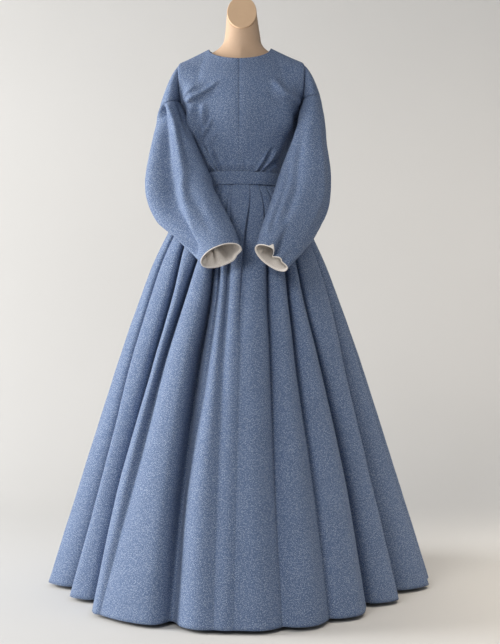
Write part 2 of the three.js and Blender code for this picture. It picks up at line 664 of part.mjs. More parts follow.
function standBase() {
  const { baseRadius, baseThick, bevel, footing } = STAND;
  const profile = [
    [0, 0],
    [baseRadius, 0],
    [baseRadius, baseThick - bevel],
    [baseRadius - bevel, baseThick],
    [footing, baseThick],
    [footing - bevel, baseThick + footing],
    [0, baseThick + footing],
  ].map(([x, y]) => new THREE.Vector2(x, y));
  return new THREE.LatheGeometry(profile, COLUMNS.round).rotateX(Math.PI / 2);
}

function standPole() {
  const low = STAND.baseThick + STAND.footing + SEAM_GAP;
  const high = STAND.poleTop - SEAM_GAP;
  const pole = new THREE.CylinderGeometry(STAND.poleRadius, STAND.poleRadius, high - low, COLUMNS.round);
  return pole.rotateX(Math.PI / 2).translate(0, 0, (low + high) / 2);
}

// ---------------------------------------------------------------- assembly

const group = new THREE.Group();

function addPiece(name, geometry, finish) {
  const mesh = new THREE.Mesh(geometry, new THREE.MeshStandardMaterial(MATERIALS[finish]));
  mesh.name = name;
  group.add(mesh);
}

for (const { name, geometry } of bodiceAndSleeves()) addPiece(name, geometry, "blue");
for (const side of SIDES) addPiece(`cuff_lining_${side.name}`, cuffLining(side), "cream");
addPiece("waistband", waistband(), "blue");
for (const { name, geometry } of skirtPieces()) addPiece(name, geometry, "blue");
addPiece("form_torso", formTorso(), "form");
addPiece("neck_cap", neckCap(), "form");
addPiece("stand_pole", standPole(), "steel");
addPiece("stand_base", standBase(), "steel");

export default group;
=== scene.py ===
"""A long-sleeved day dress worn by a limbless dress form, in a plain studio.

Metres, +Z up. The front faces -Y, and the wearer's right side lies toward -X. Each sheet of
cloth is a fine grid laid on the surface of its solid in the frame, with its creases drawn in.
"""

import logging
import math
from collections.abc import Callable, Sequence
from dataclasses import astuple, dataclass, field
from enum import Enum
from functools import partial

import bmesh
import bpy
import numpy as np
from mathutils import Matrix, Vector, noise


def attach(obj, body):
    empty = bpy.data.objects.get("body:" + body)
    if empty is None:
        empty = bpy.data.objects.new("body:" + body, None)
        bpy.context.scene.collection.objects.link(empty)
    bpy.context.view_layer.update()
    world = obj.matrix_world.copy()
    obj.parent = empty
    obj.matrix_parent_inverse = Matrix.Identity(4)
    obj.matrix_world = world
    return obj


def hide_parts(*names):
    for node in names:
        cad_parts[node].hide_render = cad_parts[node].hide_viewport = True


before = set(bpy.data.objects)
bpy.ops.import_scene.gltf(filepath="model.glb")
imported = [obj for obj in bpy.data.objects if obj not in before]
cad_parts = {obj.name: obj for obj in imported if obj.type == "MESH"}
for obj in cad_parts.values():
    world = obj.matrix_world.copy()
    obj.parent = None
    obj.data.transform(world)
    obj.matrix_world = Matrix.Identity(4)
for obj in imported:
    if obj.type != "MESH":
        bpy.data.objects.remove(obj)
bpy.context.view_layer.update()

LOG = logging.getLogger("day_dress")
Array = np.ndarray
Surface = Callable[[Array, Array], Array]
Pair = tuple[float, float]
Triple = tuple[float, float, float]
Colour = tuple[float, float, float, float]
Table = tuple[tuple[float, ...], ...]
Material = bpy.types.Material
Mesh = bmesh.types.BMesh
Object = bpy.types.Object
Socket = bpy.types.NodeSocket

MM = 0.001
BODY = "root"
# Corners nearer than this are one. The cloth's own are finer than the form's.
MERGE = 0.05 * MM
CLOTH_MERGE = 0.02 * MM


# --- small tools


def each(kind: type, *rows: tuple) -> tuple:
    """One object of a kind for each row of its values."""
    return tuple(kind(*row) for row in rows)


def through(keys: Sequence[float], values: Sequence, at: Array) -> Array:
    """A smooth curve through the rows of a table.

    Args:
        keys: the rows' places, rising or falling.
        values: one value, or one row of values, for each place.
        at: the places to read.

    Returns:
        The values there. Past the table its ends are held.
    """
    key, value = np.asarray(keys, float), np.asarray(values, float)
    if key[0] > key[-1]:
        key, value = key[::-1], value[::-1]
    wide = (slice(None),) + (None,) * (value.ndim - 1)
    rows = np.arange(len(key))
    before, after = np.maximum(rows - 1, 0), np.minimum(rows + 1, len(key) - 1)
    slope = (value[after] - value[before]) / (key[after] - key[before])[wide]
    row = np.clip(np.searchsorted(key, at) - 1, 0, len(key) - 2)
    span = (key[row + 1] - key[row])[wide]
    t = np.clip((at - key[row])[wide] / span, 0, 1)
    rise = value[row + 1] - value[row]
    start, end = slope[row] * span, slope[row + 1] * span
    bend = 3 * rise - 2 * start - end
    return value[row] + t * start + t**2 * bend + t**3 * (start + end - 2 * rise)


def mix(a: Array | float, b: Array | float, share: Array | float) -> Array:
    """A value between a and b, by its share of the way."""
    return a + (b - a) * share


def ease(value: Array, low: float, high: float) -> Array:
    """A smooth step from 0 at low to 1 at high."""
    t = np.clip((value - low) / (high - low), 0, 1)
    return t * t * (3 - 2 * t)


def fading(value: Array, end: Array, reach: Array) -> Array:
    """A curve that falls from 1 at a value of 0 to 0 at the end, at first within its reach."""
    rest = np.exp(-end / reach)
    return (np.exp(-value / reach) - rest) / (1 - rest)


def points(x: Array, y: Array, z: Array) -> Array:
    """Rows of x, y and z, from three columns of one length."""
    return np.stack(np.broadcast_arrays(x, y, z), axis=-1).astype(float)


def unit(vectors: Array) -> Array:
    """The vectors at a length of 1."""
    return vectors / np.maximum(np.linalg.norm(vectors, axis=-1, keepdims=True), 1e-9)


def lumps(place: Array, size: float, seed: float) -> Array:
    """Smooth unevenness from -1 to 1 at some points.

    Args:
        place: the points, in metres.
        size: the distance between two lumps, in metres.
        seed: a shift that makes one pattern differ from the next.

    Returns:
        One value for each point.
    """
    moved = place / size + seed
    return np.array([noise.noise(Vector(p)) for p in moved])


def uneven(place: Array, layers: Table) -> Array:
    """Layers of lumps taken together. Each has a height, a size in metres and a seed."""
    return sum(height * lumps(place, size, seed) for height, size, seed in layers)


def bell(value: Array, middle: float, width: float, power: int = 2) -> Array:
    """A rise to 1 at the middle that dies away past the width. A higher power flattens its top."""
    return np.exp(-(((value - middle) / width) ** power))


def outline_radius(angle: Array, wide: Array, deep: Array, power: Array) -> Array:
    """The distance from an upright axis to an outline, at an angle from the front."""
    across = np.abs(np.sin(angle) / wide) ** power
    ahead = np.abs(np.cos(angle) / deep) ** power
    return (across + ahead) ** (-1 / power)


@dataclass(frozen=True)
class Crease:
    """A soft trough or ridge drawn on a sheet along a line of points.

    The line's points are in the sheet's own two directions. A depth above 0 is a trough and one
    below 0 a ridge. Seen along the line, a lean of 1 makes its left side steep and a lean of -1
    its right side. "fade" holds the shares of its length over which its two ends die away.
    """

    line: Table
    width: float
    depth: float
    lean: float = 0.0
    fade: Pair = (0.35, 0.35)
    lean_share: float = 0.6

    def relief(self, across: Array, up: Array) -> Array:
        """How far it pushes the cloth in.

        Args:
            across: the places in the first direction.
            up: the places in the second direction.

        Returns:
            The depth at each place.
        """
        place = np.stack([across, up], axis=-1)
        ends = np.array(self.line, float)
        lengths = np.linalg.norm(np.diff(ends, axis=0), axis=1)
        starts = np.concatenate([[0], np.cumsum(lengths)])
        nearest = np.full(len(place), np.inf)
        share, side = np.zeros(len(place)), np.zeros(len(place))
        for k, length in enumerate(lengths):
            along = (ends[k + 1] - ends[k]) / length
            gap = place - ends[k]
            t = np.clip(gap @ along, 0, length)
            off = gap - t[:, None] * along
            distance = np.linalg.norm(off, axis=1)
            closer = distance < nearest
            nearest = np.where(closer, distance, nearest)
            share = np.where(closer, (starts[k] + t) / starts[-1], share)
            side = np.where(closer, np.sign(along[0] * off[:, 1] - along[1] * off[:, 0]), side)
        weight = bell(nearest, 0, self.width * (1 - self.lean_share * self.lean * side))
        for from_end, fade in zip((share, 1 - share), self.fade):
            if fade:
                weight *= ease(from_end, 0, fade)
        return self.depth * weight


def relief_of(creases: Sequence[Crease], across: Array, up: Array) -> Array:
    """The depths of several creases taken together."""
    return sum((c.relief(across, up) for c in creases), np.zeros(len(across)))


# --- shader node groups


Value = float | tuple | Socket
Inputs = dict[str | int, Value]


@dataclass
class Graph:
    """A node tree with short ways to add nodes and join them."""

    tree: bpy.types.NodeTree

    def fill(self, node: bpy.types.Node, inputs: Inputs) -> None:
        """Sets a node's named or numbered inputs to values, or joins sockets to them."""
        for name, value in inputs.items():
            if isinstance(value, Socket):
                self.tree.links.new(value, node.inputs[name])
            else:
                node.inputs[name].default_value = value

    def add(self, kind: str, inputs: Inputs | None = None, **settings) -> bpy.types.Node:
        """Adds a node.

        Args:
            kind: the node's type, without its ShaderNode prefix.
            inputs: a value, or a socket to join, for each named or numbered input.
            settings: the node's own properties.

        Returns:
            The node.
        """
        made = self.tree.nodes.new(f"ShaderNode{kind}")
        for name, value in settings.items():
            setattr(made, name, value)
        self.fill(made, inputs or {})
        return made

    def math(self, operation: str, *values: Value) -> Socket:
        """A sum on its numbers."""
        return self.add("Math", dict(enumerate(values)), operation=operation).outputs[0]

    def remap(self, value: Value, source: Pair, target: Pair = (0, 1)) -> Socket:
        """A number stretched smoothly from one range to another, and held at its ends."""
        labels = ("From Min", "From Max", "To Min", "To Max")
        inputs = {"Value": value, **dict(zip(labels, (*source, *target)))}
        return self.add("MapRange", inputs, interpolation_type="SMOOTHSTEP").outputs["Result"]

    def blend(self, share: Value, a: Value, b: Value) -> Socket:
        """A colour between two colours."""
        inputs = {"Factor": share, 6: a, 7: b}
        return self.add("Mix", inputs, data_type="RGBA").outputs[2]

    def scaled(self, where: Value, scale: Value) -> Socket:
        """A place scaled up, so that one unit is one repeat."""
        return self.add("VectorMath", {0: where, "Scale": scale}, operation="SCALE").outputs[0]


Grouped = tuple[Graph, bpy.types.Node, bpy.types.Node]


def new_group(name: str, takes: dict[str, float], gives: Sequence[str]) -> Grouped:
    """An empty shader node group that also takes a place.

    Args:
        name: the group's name.
        takes: each number it takes, with its default value.
        gives: the name of each number it gives.

    Returns:
        Its graph, its input node and its output node.
    """
    tree = bpy.data.node_groups.new(name, "ShaderNodeTree")
    tree.interface.new_socket("Place", in_out="INPUT", socket_type="NodeSocketVector")
    for label, value in takes.items():
        socket = tree.interface.new_socket(label, in_out="INPUT", socket_type="NodeSocketFloat")
        socket.default_value = value
    for label in gives:
        tree.interface.new_socket(label, in_out="OUTPUT", socket_type="NodeSocketFloat")
    return Graph(tree), tree.nodes.new("NodeGroupInput"), tree.nodes.new("NodeGroupOutput")


def weave_group() -> bpy.types.NodeTree:
    """Plain-woven threads: a height for the bump and a small change of tone from thread to thread."""
    graph, given, result = new_group("plain weave", {"Threads": 1800.0, "Slub": 0.5}, ("Height", "Tone"))
    place = given.outputs["Place"]
    at = graph.scaled(place, given.outputs["Threads"])
    inputs = {"Vector": at, "Scale": 0.5}
    bands = [graph.add("TexWave", inputs, bands_direction=way).outputs["Fac"] for way in ("X", "Y")]
    slubs = graph.add("TexNoise", {"Vector": place, "Scale": 420.0, "Detail": 2.0}).outputs["Fac"]
    height = graph.math("MULTIPLY_ADD", slubs, given.outputs["Slub"], graph.math("MULTIPLY", *bands))
    graph.fill(result, {"Height": height, "Tone": graph.remap(slubs, (0.3, 0.7), (-1, 1))})
    return graph.tree


def handling_group() -> bpy.types.NodeTree:
    """Broad, soft patches of wear and handling, from 0 to 1."""
    graph, given, result = new_group("handling", {"Patch": 9.0}, ("Mask",))
    place, patch = (given.outputs[name] for name in ("Place", "Patch"))
    inputs = {"Vector": place, "Scale": patch, "Detail": 3.0, "Roughness": 0.6}
    clouds = graph.add("TexNoise", inputs).outputs["Fac"]
    graph.fill(result, {"Mask": graph.remap(clouds, (0.35, 0.65))})
    return graph.tree


class SharedEffects:
    """The node groups that more than one finish uses, each made once."""

    def __init__(self) -> None:
        """Makes the groups."""
        self.weave = weave_group()
        self.handling = handling_group()


# --- finishes


class Slot(Enum):
    """The record's material slots."""

    PRINT = "printed_cotton"
    LINING = "cream_lining"
    SKIN = "form_skin"
    CAP = "form_cap"
    METAL = "stand_metal"


@dataclass(frozen=True)
class Cotton:
    """Plain-woven cotton, with a printed speckle if its pitch is above 0."""

    name: str
    ground: Colour
    shade: Colour
    roughness: float
    sheen: float
    bump: float
    speck: Colour = (1, 1, 1, 1)
    pitch: float = 0
    # The pitch of each size of speck, as a share of the first, and its radius as a share of its cell.
    dots: Table = ((1, 0.19), (0.6, 0.17))
    dot_edge: float = 0.12

    def material(self, effects: SharedEffects) -> Material:
        """The finish as a material that reads the sheet's own map, in metres."""
        made, graph, surface = blank_material(self.name)
        flat = graph.add("UVMap", uv_map="Cloth").outputs[0]
        weave = graph.add("Group", {"Place": flat, "Threads": 1900.0, "Slub": 0.6}, node_tree=effects.weave)
        patches = graph.add("Group", {"Place": flat, "Patch": 11.0}, node_tree=effects.handling)
        colour = graph.blend(graph.remap(weave.outputs["Tone"], (-1, 1)), self.shade, self.ground)
        if self.pitch:
            colour = self.printed(graph, flat, colour)
        tone = graph.remap(patches.outputs["Mask"], (0, 1), (0.98, 1.02))
        inputs = {"Height": weave.outputs["Height"], "Strength": self.bump, "Distance": 0.35 * MM}
        graph.fill(
            surface,
            {
                "Base Color": graph.add("HueSaturation", {"Value": tone, "Color": colour}).outputs["Color"],
                "Normal": graph.add("Bump", inputs).outputs["Normal"],
                "Roughness": self.roughness,
                "Sheen Weight": self.sheen,
                "Sheen Roughness": 0.45,
                "Specular IOR Level": 0.2,
            },
        )
        return made

    def printed(self, graph: Graph, flat: Value, colour: Value) -> Socket:
        """The cloth's colour with small specks of two sizes printed on it."""
        for share, radius in self.dots:
            place = graph.scaled(flat, 1 / (share * self.pitch))
            inputs = {"Vector": place, "Scale": 1.0, "Randomness": 0.85}
            cells = graph.add("TexVoronoi", inputs, voronoi_dimensions="2D")
            chance = graph.add("SeparateColor", {0: cells.outputs["Color"]}).outputs[0]
            dot = graph.remap(cells.outputs["Distance"], (radius, radius + self.dot_edge), (1, 0))
            dot = graph.math("MULTIPLY", dot, graph.remap(chance, (0.2, 0.9), (0.0, 0.7)))
            colour = graph.blend(dot, colour, self.speck)
        return colour


@dataclass(frozen=True)
class Smooth:
    """A moulded or painted finish with a fine grain."""

    name: str
    colour: Colour
    mark: Colour
    roughness: float
    grain: float

    def material(self, effects: SharedEffects) -> Material:
        """The finish as a material that reads the piece's own place."""
        made, graph, surface = blank_material(self.name)
        place = graph.add("TexCoord").outputs["Object"]
        patches = graph.add("Group", {"Place": place, "Patch": 24.0}, node_tree=effects.handling)
        mask = patches.outputs["Mask"]
        grain = graph.add("TexNoise", {"Vector": place, "Scale": 900.0, "Detail": 3.0}).outputs["Fac"]
        inputs = {"Height": grain, "Strength": self.grain, "Distance": 0.2 * MM}
        rough = (self.roughness - 0.05, self.roughness + 0.06)
        graph.fill(
            surface,
            {
                "Base Color": graph.blend(graph.math("MULTIPLY", mask, 0.35), self.colour, self.mark),
                "Roughness": graph.remap(mask, (0, 1), rough),
                "Normal": graph.add("Bump", inputs).outputs["Normal"],
            },
        )
        return made


def blank_material(name: str) -> tuple[Material, Graph, bpy.types.Node]:
    """A new material, its graph and its one surface shader."""
    made = bpy.data.materials.new(name)
    made.use_nodes = True
    return made, Graph(made.node_tree), made.node_tree.nodes["Principled BSDF"]


COTTON = Cotton(
    name="printed cotton",
    ground=(0.104, 0.156, 0.276, 1),
    shade=(0.080, 0.122, 0.226, 1),
    roughness=0.8,
    sheen=0.04,
    bump=0.5,
    speck=(0.54, 0.62, 0.74, 1),
    pitch=3.0 * MM,
)
LINING = Cotton("cream lining", (0.84, 0.79, 0.74, 1), (0.76, 0.70, 0.64, 1), 0.85, 0.1, 0.4)
SKIN = Smooth("form skin", (0.53, 0.365, 0.245, 1), (0.48, 0.32, 0.21, 1), 0.6, 0.12)
CAP = Smooth("form cap", (0.66, 0.45, 0.28, 1), (0.60, 0.40, 0.25, 1), 0.6, 0.15)
METAL = Smooth("stand metal", (0.030, 0.031, 0.034, 1), (0.06, 0.06, 0.062, 1), 0.48, 0.3)


# --- sheets of cloth


@dataclass
class Sheet:
    """One piece of cloth: grids laid on surfaces, joined, and given the cloth's thickness.

    "scale" is the length in metres of one unit of its surfaces.
    """

    name: str
    thickness: float
    scale: float = 1.0
    mesh: Mesh = field(default_factory=bmesh.new)

    def lay(self, columns: int, rows: int, surface: Surface, turned: bool = False) -> None:
        """Adds a grid and lays it on a surface, with a flat map in metres.

        Args:
            columns: how many cells it has across.
            rows: how many cells it has from bottom to top.
            surface: gives the points for shares across and up, each from 0 to 1.
            turned: whether the grid's faces have to be turned to point outward.
        """
        made = bmesh.ops.create_grid(self.mesh, x_segments=columns, y_segments=rows, size=0.5)
        corners = made["verts"]
        share = np.array([corner.co[:2] for corner in corners]) + 0.5
        place = surface(share[:, 0], share[:, 1]) * self.scale
        column = np.rint(share[:, 0] * columns).astype(int)
        row = np.rint(share[:, 1] * rows).astype(int)
        grid = np.zeros((rows + 1, columns + 1, 3))
        grid[row, column] = place
        flat = self.flat_map(grid)[row, column]
        faces = {face for corner in corners for face in corner.link_faces}
        layer = self.mesh.loops.layers.uv.verify()
        layer_at = {}
        for corner, point, spot in zip(corners, place, flat):
            corner.co = point
            layer_at[corner] = spot
        for face in faces:
            for loop in face.loops:
                loop[layer].uv = layer_at[loop.vert]
        if turned:
            bmesh.ops.reverse_faces(self.mesh, faces=list(faces))

    @staticmethod
    def flat_map(grid: Array) -> Array:
        """The cloth's places before it was bent, from the lengths along its rows and columns."""
        across = np.linalg.norm(np.diff(grid, axis=1), axis=2).cumsum(axis=1)
        across = np.pad(across, ((0, 0), (1, 0)))
        across -= across[:, across.shape[1] // 2][:, None]
        up = np.linalg.norm(np.diff(grid, axis=0), axis=2).mean(axis=1).cumsum()
        up = np.broadcast_to(np.pad(up, (1, 0))[:, None], across.shape)
        return np.stack([across, up], axis=-1)

    def finish(self, material: Material, slot: Slot, node: str) -> Object:
        """Makes the object that stands for a node of the frame.

        Args:
            material: its finish.
            slot: the record's slot that the finish belongs to; not used.
            node: the node's name.

        Returns:
            The object, with its wall still a live modifier.
        """
        bmesh.ops.remove_doubles(self.mesh, verts=self.mesh.verts, dist=CLOTH_MERGE)
        smooth(self.mesh)
        made = new_object(self.name, self.mesh, material)
        made.data.uv_layers[0].name = "Cloth"
        wall = made.modifiers.new("wall", "SOLIDIFY")
        wall.thickness = self.thickness
        wall.offset = -1
        settle(made, slot, node)
        return made


def smooth(mesh: Mesh, corners: int = 0) -> None:
    """Shades every face smooth, or only those with a number of corners, and the others flat."""
    for face in mesh.faces:
        face.smooth = corners in (0, len(face.verts))


def grown(made: dict, kind: type) -> list:
    """The new corners or edges that a bmesh operator has made."""
    return [part for part in made["geom"] if isinstance(part, kind)]


def put(name: str, data: bpy.types.ID, place: Triple = (0, 0, 0), turn: Triple = (0, 0, 0)) -> Object:
    """Puts a mesh, a lamp or a camera in the scene."""
    made = bpy.data.objects.new(name, data)
    made.location, made.rotation_euler = place, turn
    bpy.context.scene.collection.objects.link(made)
    return made


def new_object(name: str, mesh: Mesh, material: Material) -> Object:
    """An object at the origin that holds a bmesh's faces, which is then freed."""
    data = bpy.data.meshes.new(name)
    mesh.to_mesh(data)
    mesh.free()
    data.materials.append(material)
    return put(name, data)


def settle(piece: Object, slot: Slot, *nodes: str) -> None:
    """Fixes a piece to the frame, in place of nodes of it."""
    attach(piece, BODY)
    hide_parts(*nodes)
    LOG.info("%s: %d points", piece.name, len(piece.data.vertices))


# --- the skirt


@dataclass(frozen=True)
class Valley:
    """A valley between two of the skirt's flutes, with one value for each station.

    "turn" is its angle from the centre front in degrees, and "deep" its depth in millimetres
    before the skirt's depth_scale. A lap above 0 is how far the flute before it laps over it, and
    one below 0 how far the flute after it does, each as a share of the longest lap.
    """

    turn: tuple[float, ...]
    deep: tuple[float, ...]
    lap: tuple[float, ...]


VALLEYS = each(
    Valley,
    ((-66, -65, -66, -68.5, -69.7, -71.5), (1, 16, 36, 56, 72, 80), (0, -0.1, -0.2, -0.3, -0.4, -0.5)),
    ((-51, -46, -42.3, -44.4, -48, -47.3), (1, 16, 36, 56, 72, 80), (0, -0.2, -0.4, -0.6, -0.9, -1.0)),
    ((-37, -28, -31, -35.8, -38, -40.8), (1, 18, 32, 28, 12, 3), (0, -0.4, -0.5, -0.3, 0, 0)),
    ((-28, -19, -15.6, -17.6, -18.2, -17.4), (1, 14, 32, 46, 46, 34), (0, 0.2, 0.2, 0, 0, 0)),
    ((-14, -13, -11.4, -13, -16.2, -15.2), (5, 16, 18, 20, 22, 18), (-0.8, -0.6, -0.6, -0.6, -0.5, -0.5)),
    ((-11, -7.5, -6.6, -7, -6.6, -6), (2, 10, 12, 8, 4, 2), (0, 0.2, 0.2, 0, 0, 0)),
    ((17.5, 5.5, 1.5, 0.5, -0.5, -1), (6, 12, 7, 1, 0.6, 0.6), (0.9, 0.9, 0.6, 0.2, 0, 0)),
    ((32.5, 22, 16.3, 13.6, 11.8, 11.4), (4, 14, 22, 24, 22, 14), (0.8, 0.8, 0.7, 0.7, 0.6, 0.4)),
    ((44, 34, 29.2, 25.9, 25.6, 24.8), (5, 16, 26, 32, 32, 28), (0.4, 0.6, 0.7, 0.7, 0.7, 0.7)),
    ((54, 44, 40.1, 41.2, 44.4, 42.7), (1, 13, 25, 38, 50, 54), (0, 0.3, 0.6, 0.7, 0.8, 0.8)),
    ((63, 66, 66.7, 63.3, 64.7, 64.8), (1, 14, 28, 42, 54, 58), (0, 0.4, 0.6, 0.7, 0.8, 0.8)),
    ((77, 81, 84, 83, 86, 88), (2, 12, 20, 26, 28, 30), (0, 0.4, 0.5, 0.6, 0.7, 0.8)),
    ((92, 94, 96, 96, 98, 99), (1, 12, 18, 24, 28, 28), (0, 0.2, 0.4, 0.4, 0.4, 0.5)),
    ((106, 106, 107, 106, 108, 108), (2, 15, 20, 24, 28, 32), (0, -0.3, -0.5, -0.5, -0.6, -0.7)),
    ((121, 120, 119, 118, 117, 117), (1, 15, 24, 32, 32, 28), (0, 0.3, 0.5, 0.6, 0.5, 0.4)),
    ((134, 133, 132, 131, 129, 128), (3, 12, 18, 24, 28, 30), (0, -0.2, -0.3, -0.4, -0.7, -0.9)),
    ((148, 149, 148, 147, 145, 144), (1, 16, 24, 30, 32, 30), (0, 0.5, 0.6, 0.6, 0.6, 0.5)),
    ((163, 162, 162, 160, 159, 158), (4, 18, 26, 30, 28, 24), (0.3, 0.5, 0.6, 0.5, 0.3, 0.2)),
    ((176, 177, 177, 176, 176, 175), (1, 11, 16, 20, 22, 20), (0, 0, 0.1, 0.2, 0.2, 0)),
    ((190, 191, 191, 192, 193, 193), (4, 18, 26, 32, 32, 28), (-0.3, -0.5, -0.6, -0.6, -0.6, -0.4)),
    ((204, 203, 204, 205, 206, 206), (1, 16, 22, 28, 32, 32), (0, -0.3, -0.5, -0.6, -0.7, -0.9)),
    ((218, 218, 219, 219, 220, 220), (3, 13, 18, 24, 26, 28), (0, 0.2, 0.3, 0.3, 0.4, 0.4)),
    ((231, 231, 232, 232, 232, 232), (1, 15, 24, 32, 34, 32), (0, -0.4, -0.5, -0.6, -0.6, -0.6)),
    ((245, 244, 244, 244, 244, 244), (2, 12, 18, 22, 26, 26), (0, 0.2, 0.4, 0.5, 0.5, 0.4)),
    ((258, 257, 256, 255, 256, 256), (1, 13, 20, 28, 30, 32), (0, -0.3, -0.5, -0.6, -0.8, -0.9)),
    ((276, 274, 271, 269, 268, 268), (2, 12, 18, 24, 26, 26), (0, -0.2, -0.3, -0.4, -0.5, -0.5)),
)


@dataclass(frozen=True)
class Skirt:
    """The pleated bell skirt in four breadths, in metres."""

    waist: float = 1.0715
    hem: float = 0.010
    seam_allowance: float = 0.06
    # The heights of the stations. Each row below them has a value for each station.
    stations: tuple[float, ...] = (1.068, 0.940, 0.800, 0.600, 0.320, 0.010)
    valley_width: tuple[float, ...] = (0.003, 0.006, 0.010, 0.015, 0.020, 0.024)
    valley_round: tuple[float, ...] = (0.0, 0.0005, 0.002, 0.005, 0.010, 0.014)
    longest_lap: tuple[float, ...] = (0.0, 0.004, 0.005, 0.007, 0.009, 0.010)
    lap_reach: float = 0.009
    lap_softness: float = 1.25
    # A valley's depth, and how it turns toward the front or the back.
    depth_scale: float = 1.65
    valley_bend: float = 2.4
    # A steep side dies away within a share of the valley's width: without a lap, and with a full one.
    edge_reach: Pair = (0.75, 0.35)
    # A gentle side is a long slope, with a share of a steep one.
    slope_power: float = 1.3
    slit_share: float = 0.25
    slit_reach: float = 0.5
    # The crests are round by a share of their width. Over a drop, the pleats open from the band.
    crown: float = 0.05
    crown_top: float = 0.2
    flat_top: float = 0.19
    pleat_step: float = 0.004
    swell: Table = ((0.0012, 0.11, 3.7), (0.0005, 0.035, 9.1))
    swell_top: Pair = (0.01, 0.12)
    hem_span: Pair = (0.05, 0.95)
    columns: int = 32
    column_squeeze: float = 0.72
    measured: int = 40
    # Height, half width, half depth and power of the outline.
    levels: Table = (
        (1.080, 0.1165, 0.0885, 2.00), (1.068, 0.1180, 0.0900, 2.00), (1.040, 0.1390, 0.1140, 2.00),
        (1.000, 0.1680, 0.1420, 2.00), (0.948, 0.1940, 0.1720, 1.98), (0.870, 0.2330, 0.2200, 1.94),
        (0.766, 0.2755, 0.2640, 1.88), (0.631, 0.3270, 0.3160, 1.80), (0.415, 0.4035, 0.3870, 1.70),
        (0.200, 0.4770, 0.4540, 1.64), (0.010, 0.5400, 0.5140, 1.60),
    )
    # How the hem's outline differs from that, by the angle from the centre front in degrees.
    hem_ratio: Table = (
        (-95, 1.0), (-73, 0.955), (-60, 0.995), (-46, 1.045), (-30, 1.05),
        (-15, 1.045), (0, 1.01), (8, 1.03), (23, 1.045), (30, 1.025),
        (39, 1.0), (46, 0.972), (60, 0.955), (73, 0.96), (95, 1.0),
    )
    valleys: tuple[Valley, ...] = VALLEYS
    # Each breadth: its first and last valley, and its rows.
    breadths: tuple[tuple[str, int, int, int], ...] = (
        ("skirt_front", 1, 10, 150),
        ("skirt_side_left", 10, 16, 120),
        ("skirt_back", 16, 21, 120),
        ("skirt_side_right", 21, 27, 120),
    )

    def station_values(self, column: str, z: Array) -> Array:
        """One of the valleys' columns at some heights, a row for each height."""
        table = np.array([getattr(valley, column) for valley in self.valleys], float).T
        return through(self.stations, table, z)

    def outline(self, angle: Array, z: Array) -> Array:
        """The distance from the axis to the crests, by the angle in radians and the height."""
        levels = np.array(self.levels)
        radius = outline_radius(angle, *through(levels[:, 0], levels[:, 1:], z).T)
        table = np.array(self.hem_ratio)
        turn = (np.degrees(angle) + 180) % 360 - 180
        ratio = through(table[:, 0], table[:, 1], turn) - 1
        return radius * (1 + ratio * ease(self.waist - z, *self.hem_span))

    def surface(self, place: Array, z: Array) -> Array:
        """Points on the skirt.

        Args:
            place: counts valleys, and its fraction runs across the flute between two of them.
            z: the heights.

        Returns:
            The points, pleats and laps included.
        """
        count = len(self.valleys)
        before = np.floor(place + 1e-6).astype(int)
        share = np.clip(place - before, 0, 1)
        pick = np.arange(len(place))
        turn, deep, lap = (self.station_values(name, z) for name in ("turn", "deep", "lap"))
        sides = [before + step for step in (-1, 0, 1, 2)]
        turns = [turn[pick, side % count] + 360 * (side // count) for side in sides]
        widths = [np.radians(far - near) for near, far in zip(turns, turns[1:])]
        sides, turns = sides[1:3], turns[1:3]
        deeps = [deep[pick, side % count] * MM * self.depth_scale for side in sides]
        full = ease(self.waist - z, 0, self.flat_top)
        deeps = [mix(np.minimum(depth, self.pleat_step), depth, full) for depth in deeps]
        laps = [lap[pick, side % count] for side in sides]
        angle = np.radians(mix(turns[0], turns[1], share))
        radius = self.outline(angle, z)
        width = radius * widths[1]
        columns = (self.valley_width, self.valley_round, self.longest_lap)
        reach, rounding, longest = (through(self.stations, column, z) for column in columns)
        shared = radius * (widths[1] + np.where(share < 0.5, widths[0], widths[2])) / 2
        inset = self.crown * shared * (2 * share - 1) ** 2 * ease(self.waist - z, 0, self.crown_top)
        shift = np.zeros(len(place))
        for away, depth, over, way in (
            (share * width, deeps[0], -laps[0], -1),
            ((1 - share) * width, deeps[1], laps[1], 1),
        ):
            soft, whole = (np.hypot(gap, rounding) - rounding for gap in (away, width))
            edge = fading(soft, whole, reach * mix(*self.edge_reach, np.maximum(over, 0)))
            t = np.clip(1 - soft / whole, 0, 1)
            slit = fading(soft, whole, self.slit_reach * reach)
            slope = mix(t**self.slope_power, slit, self.slit_share)
            inset = inset + depth * mix(edge, slope, np.clip(-over * self.lap_softness, 0, 1))
            near = away / np.minimum(self.lap_reach, width / 4)
            shift = shift + way * longest * np.maximum(over, 0) * (near * np.exp(1 - near)) ** 2
        angle = angle + shift / radius
        inward = self.inward(angle)
        x = radius * np.sin(angle) - inset * np.sin(inward)
        return points(x, inset * np.cos(inward) - radius * np.cos(angle), z)

    def inward(self, angle: Array) -> Array:
        """The way the valleys run in: turned from the radius toward the front or the back."""
        turn = (angle + np.pi) % (2 * np.pi) - np.pi
        behind = np.abs(turn) > np.pi / 2
        half = np.where(behind, np.sign(turn) * np.pi - turn, turn)
        bent = half * np.abs(half / (np.pi / 2)) ** self.valley_bend
        return np.where(behind, np.sign(turn) * np.pi - bent, bent)

    def breadth(self, first: int, last: int, u: Array, v: Array) -> Array:
        """Points on a breadth from one valley to another, its columns drawn together at valleys."""
        even = first + u * (last - first)
        turn = 2 * np.pi * (even % 1)
        z = mix(self.hem, self.waist, v)
        place = self.surface(even - self.column_squeeze * np.sin(turn) / (2 * np.pi), z)
        swell = uneven(place, self.swell) * ease(self.waist - z, *self.swell_top)
        return place + unit(place * (1, 1, 0)) * swell[:, None]

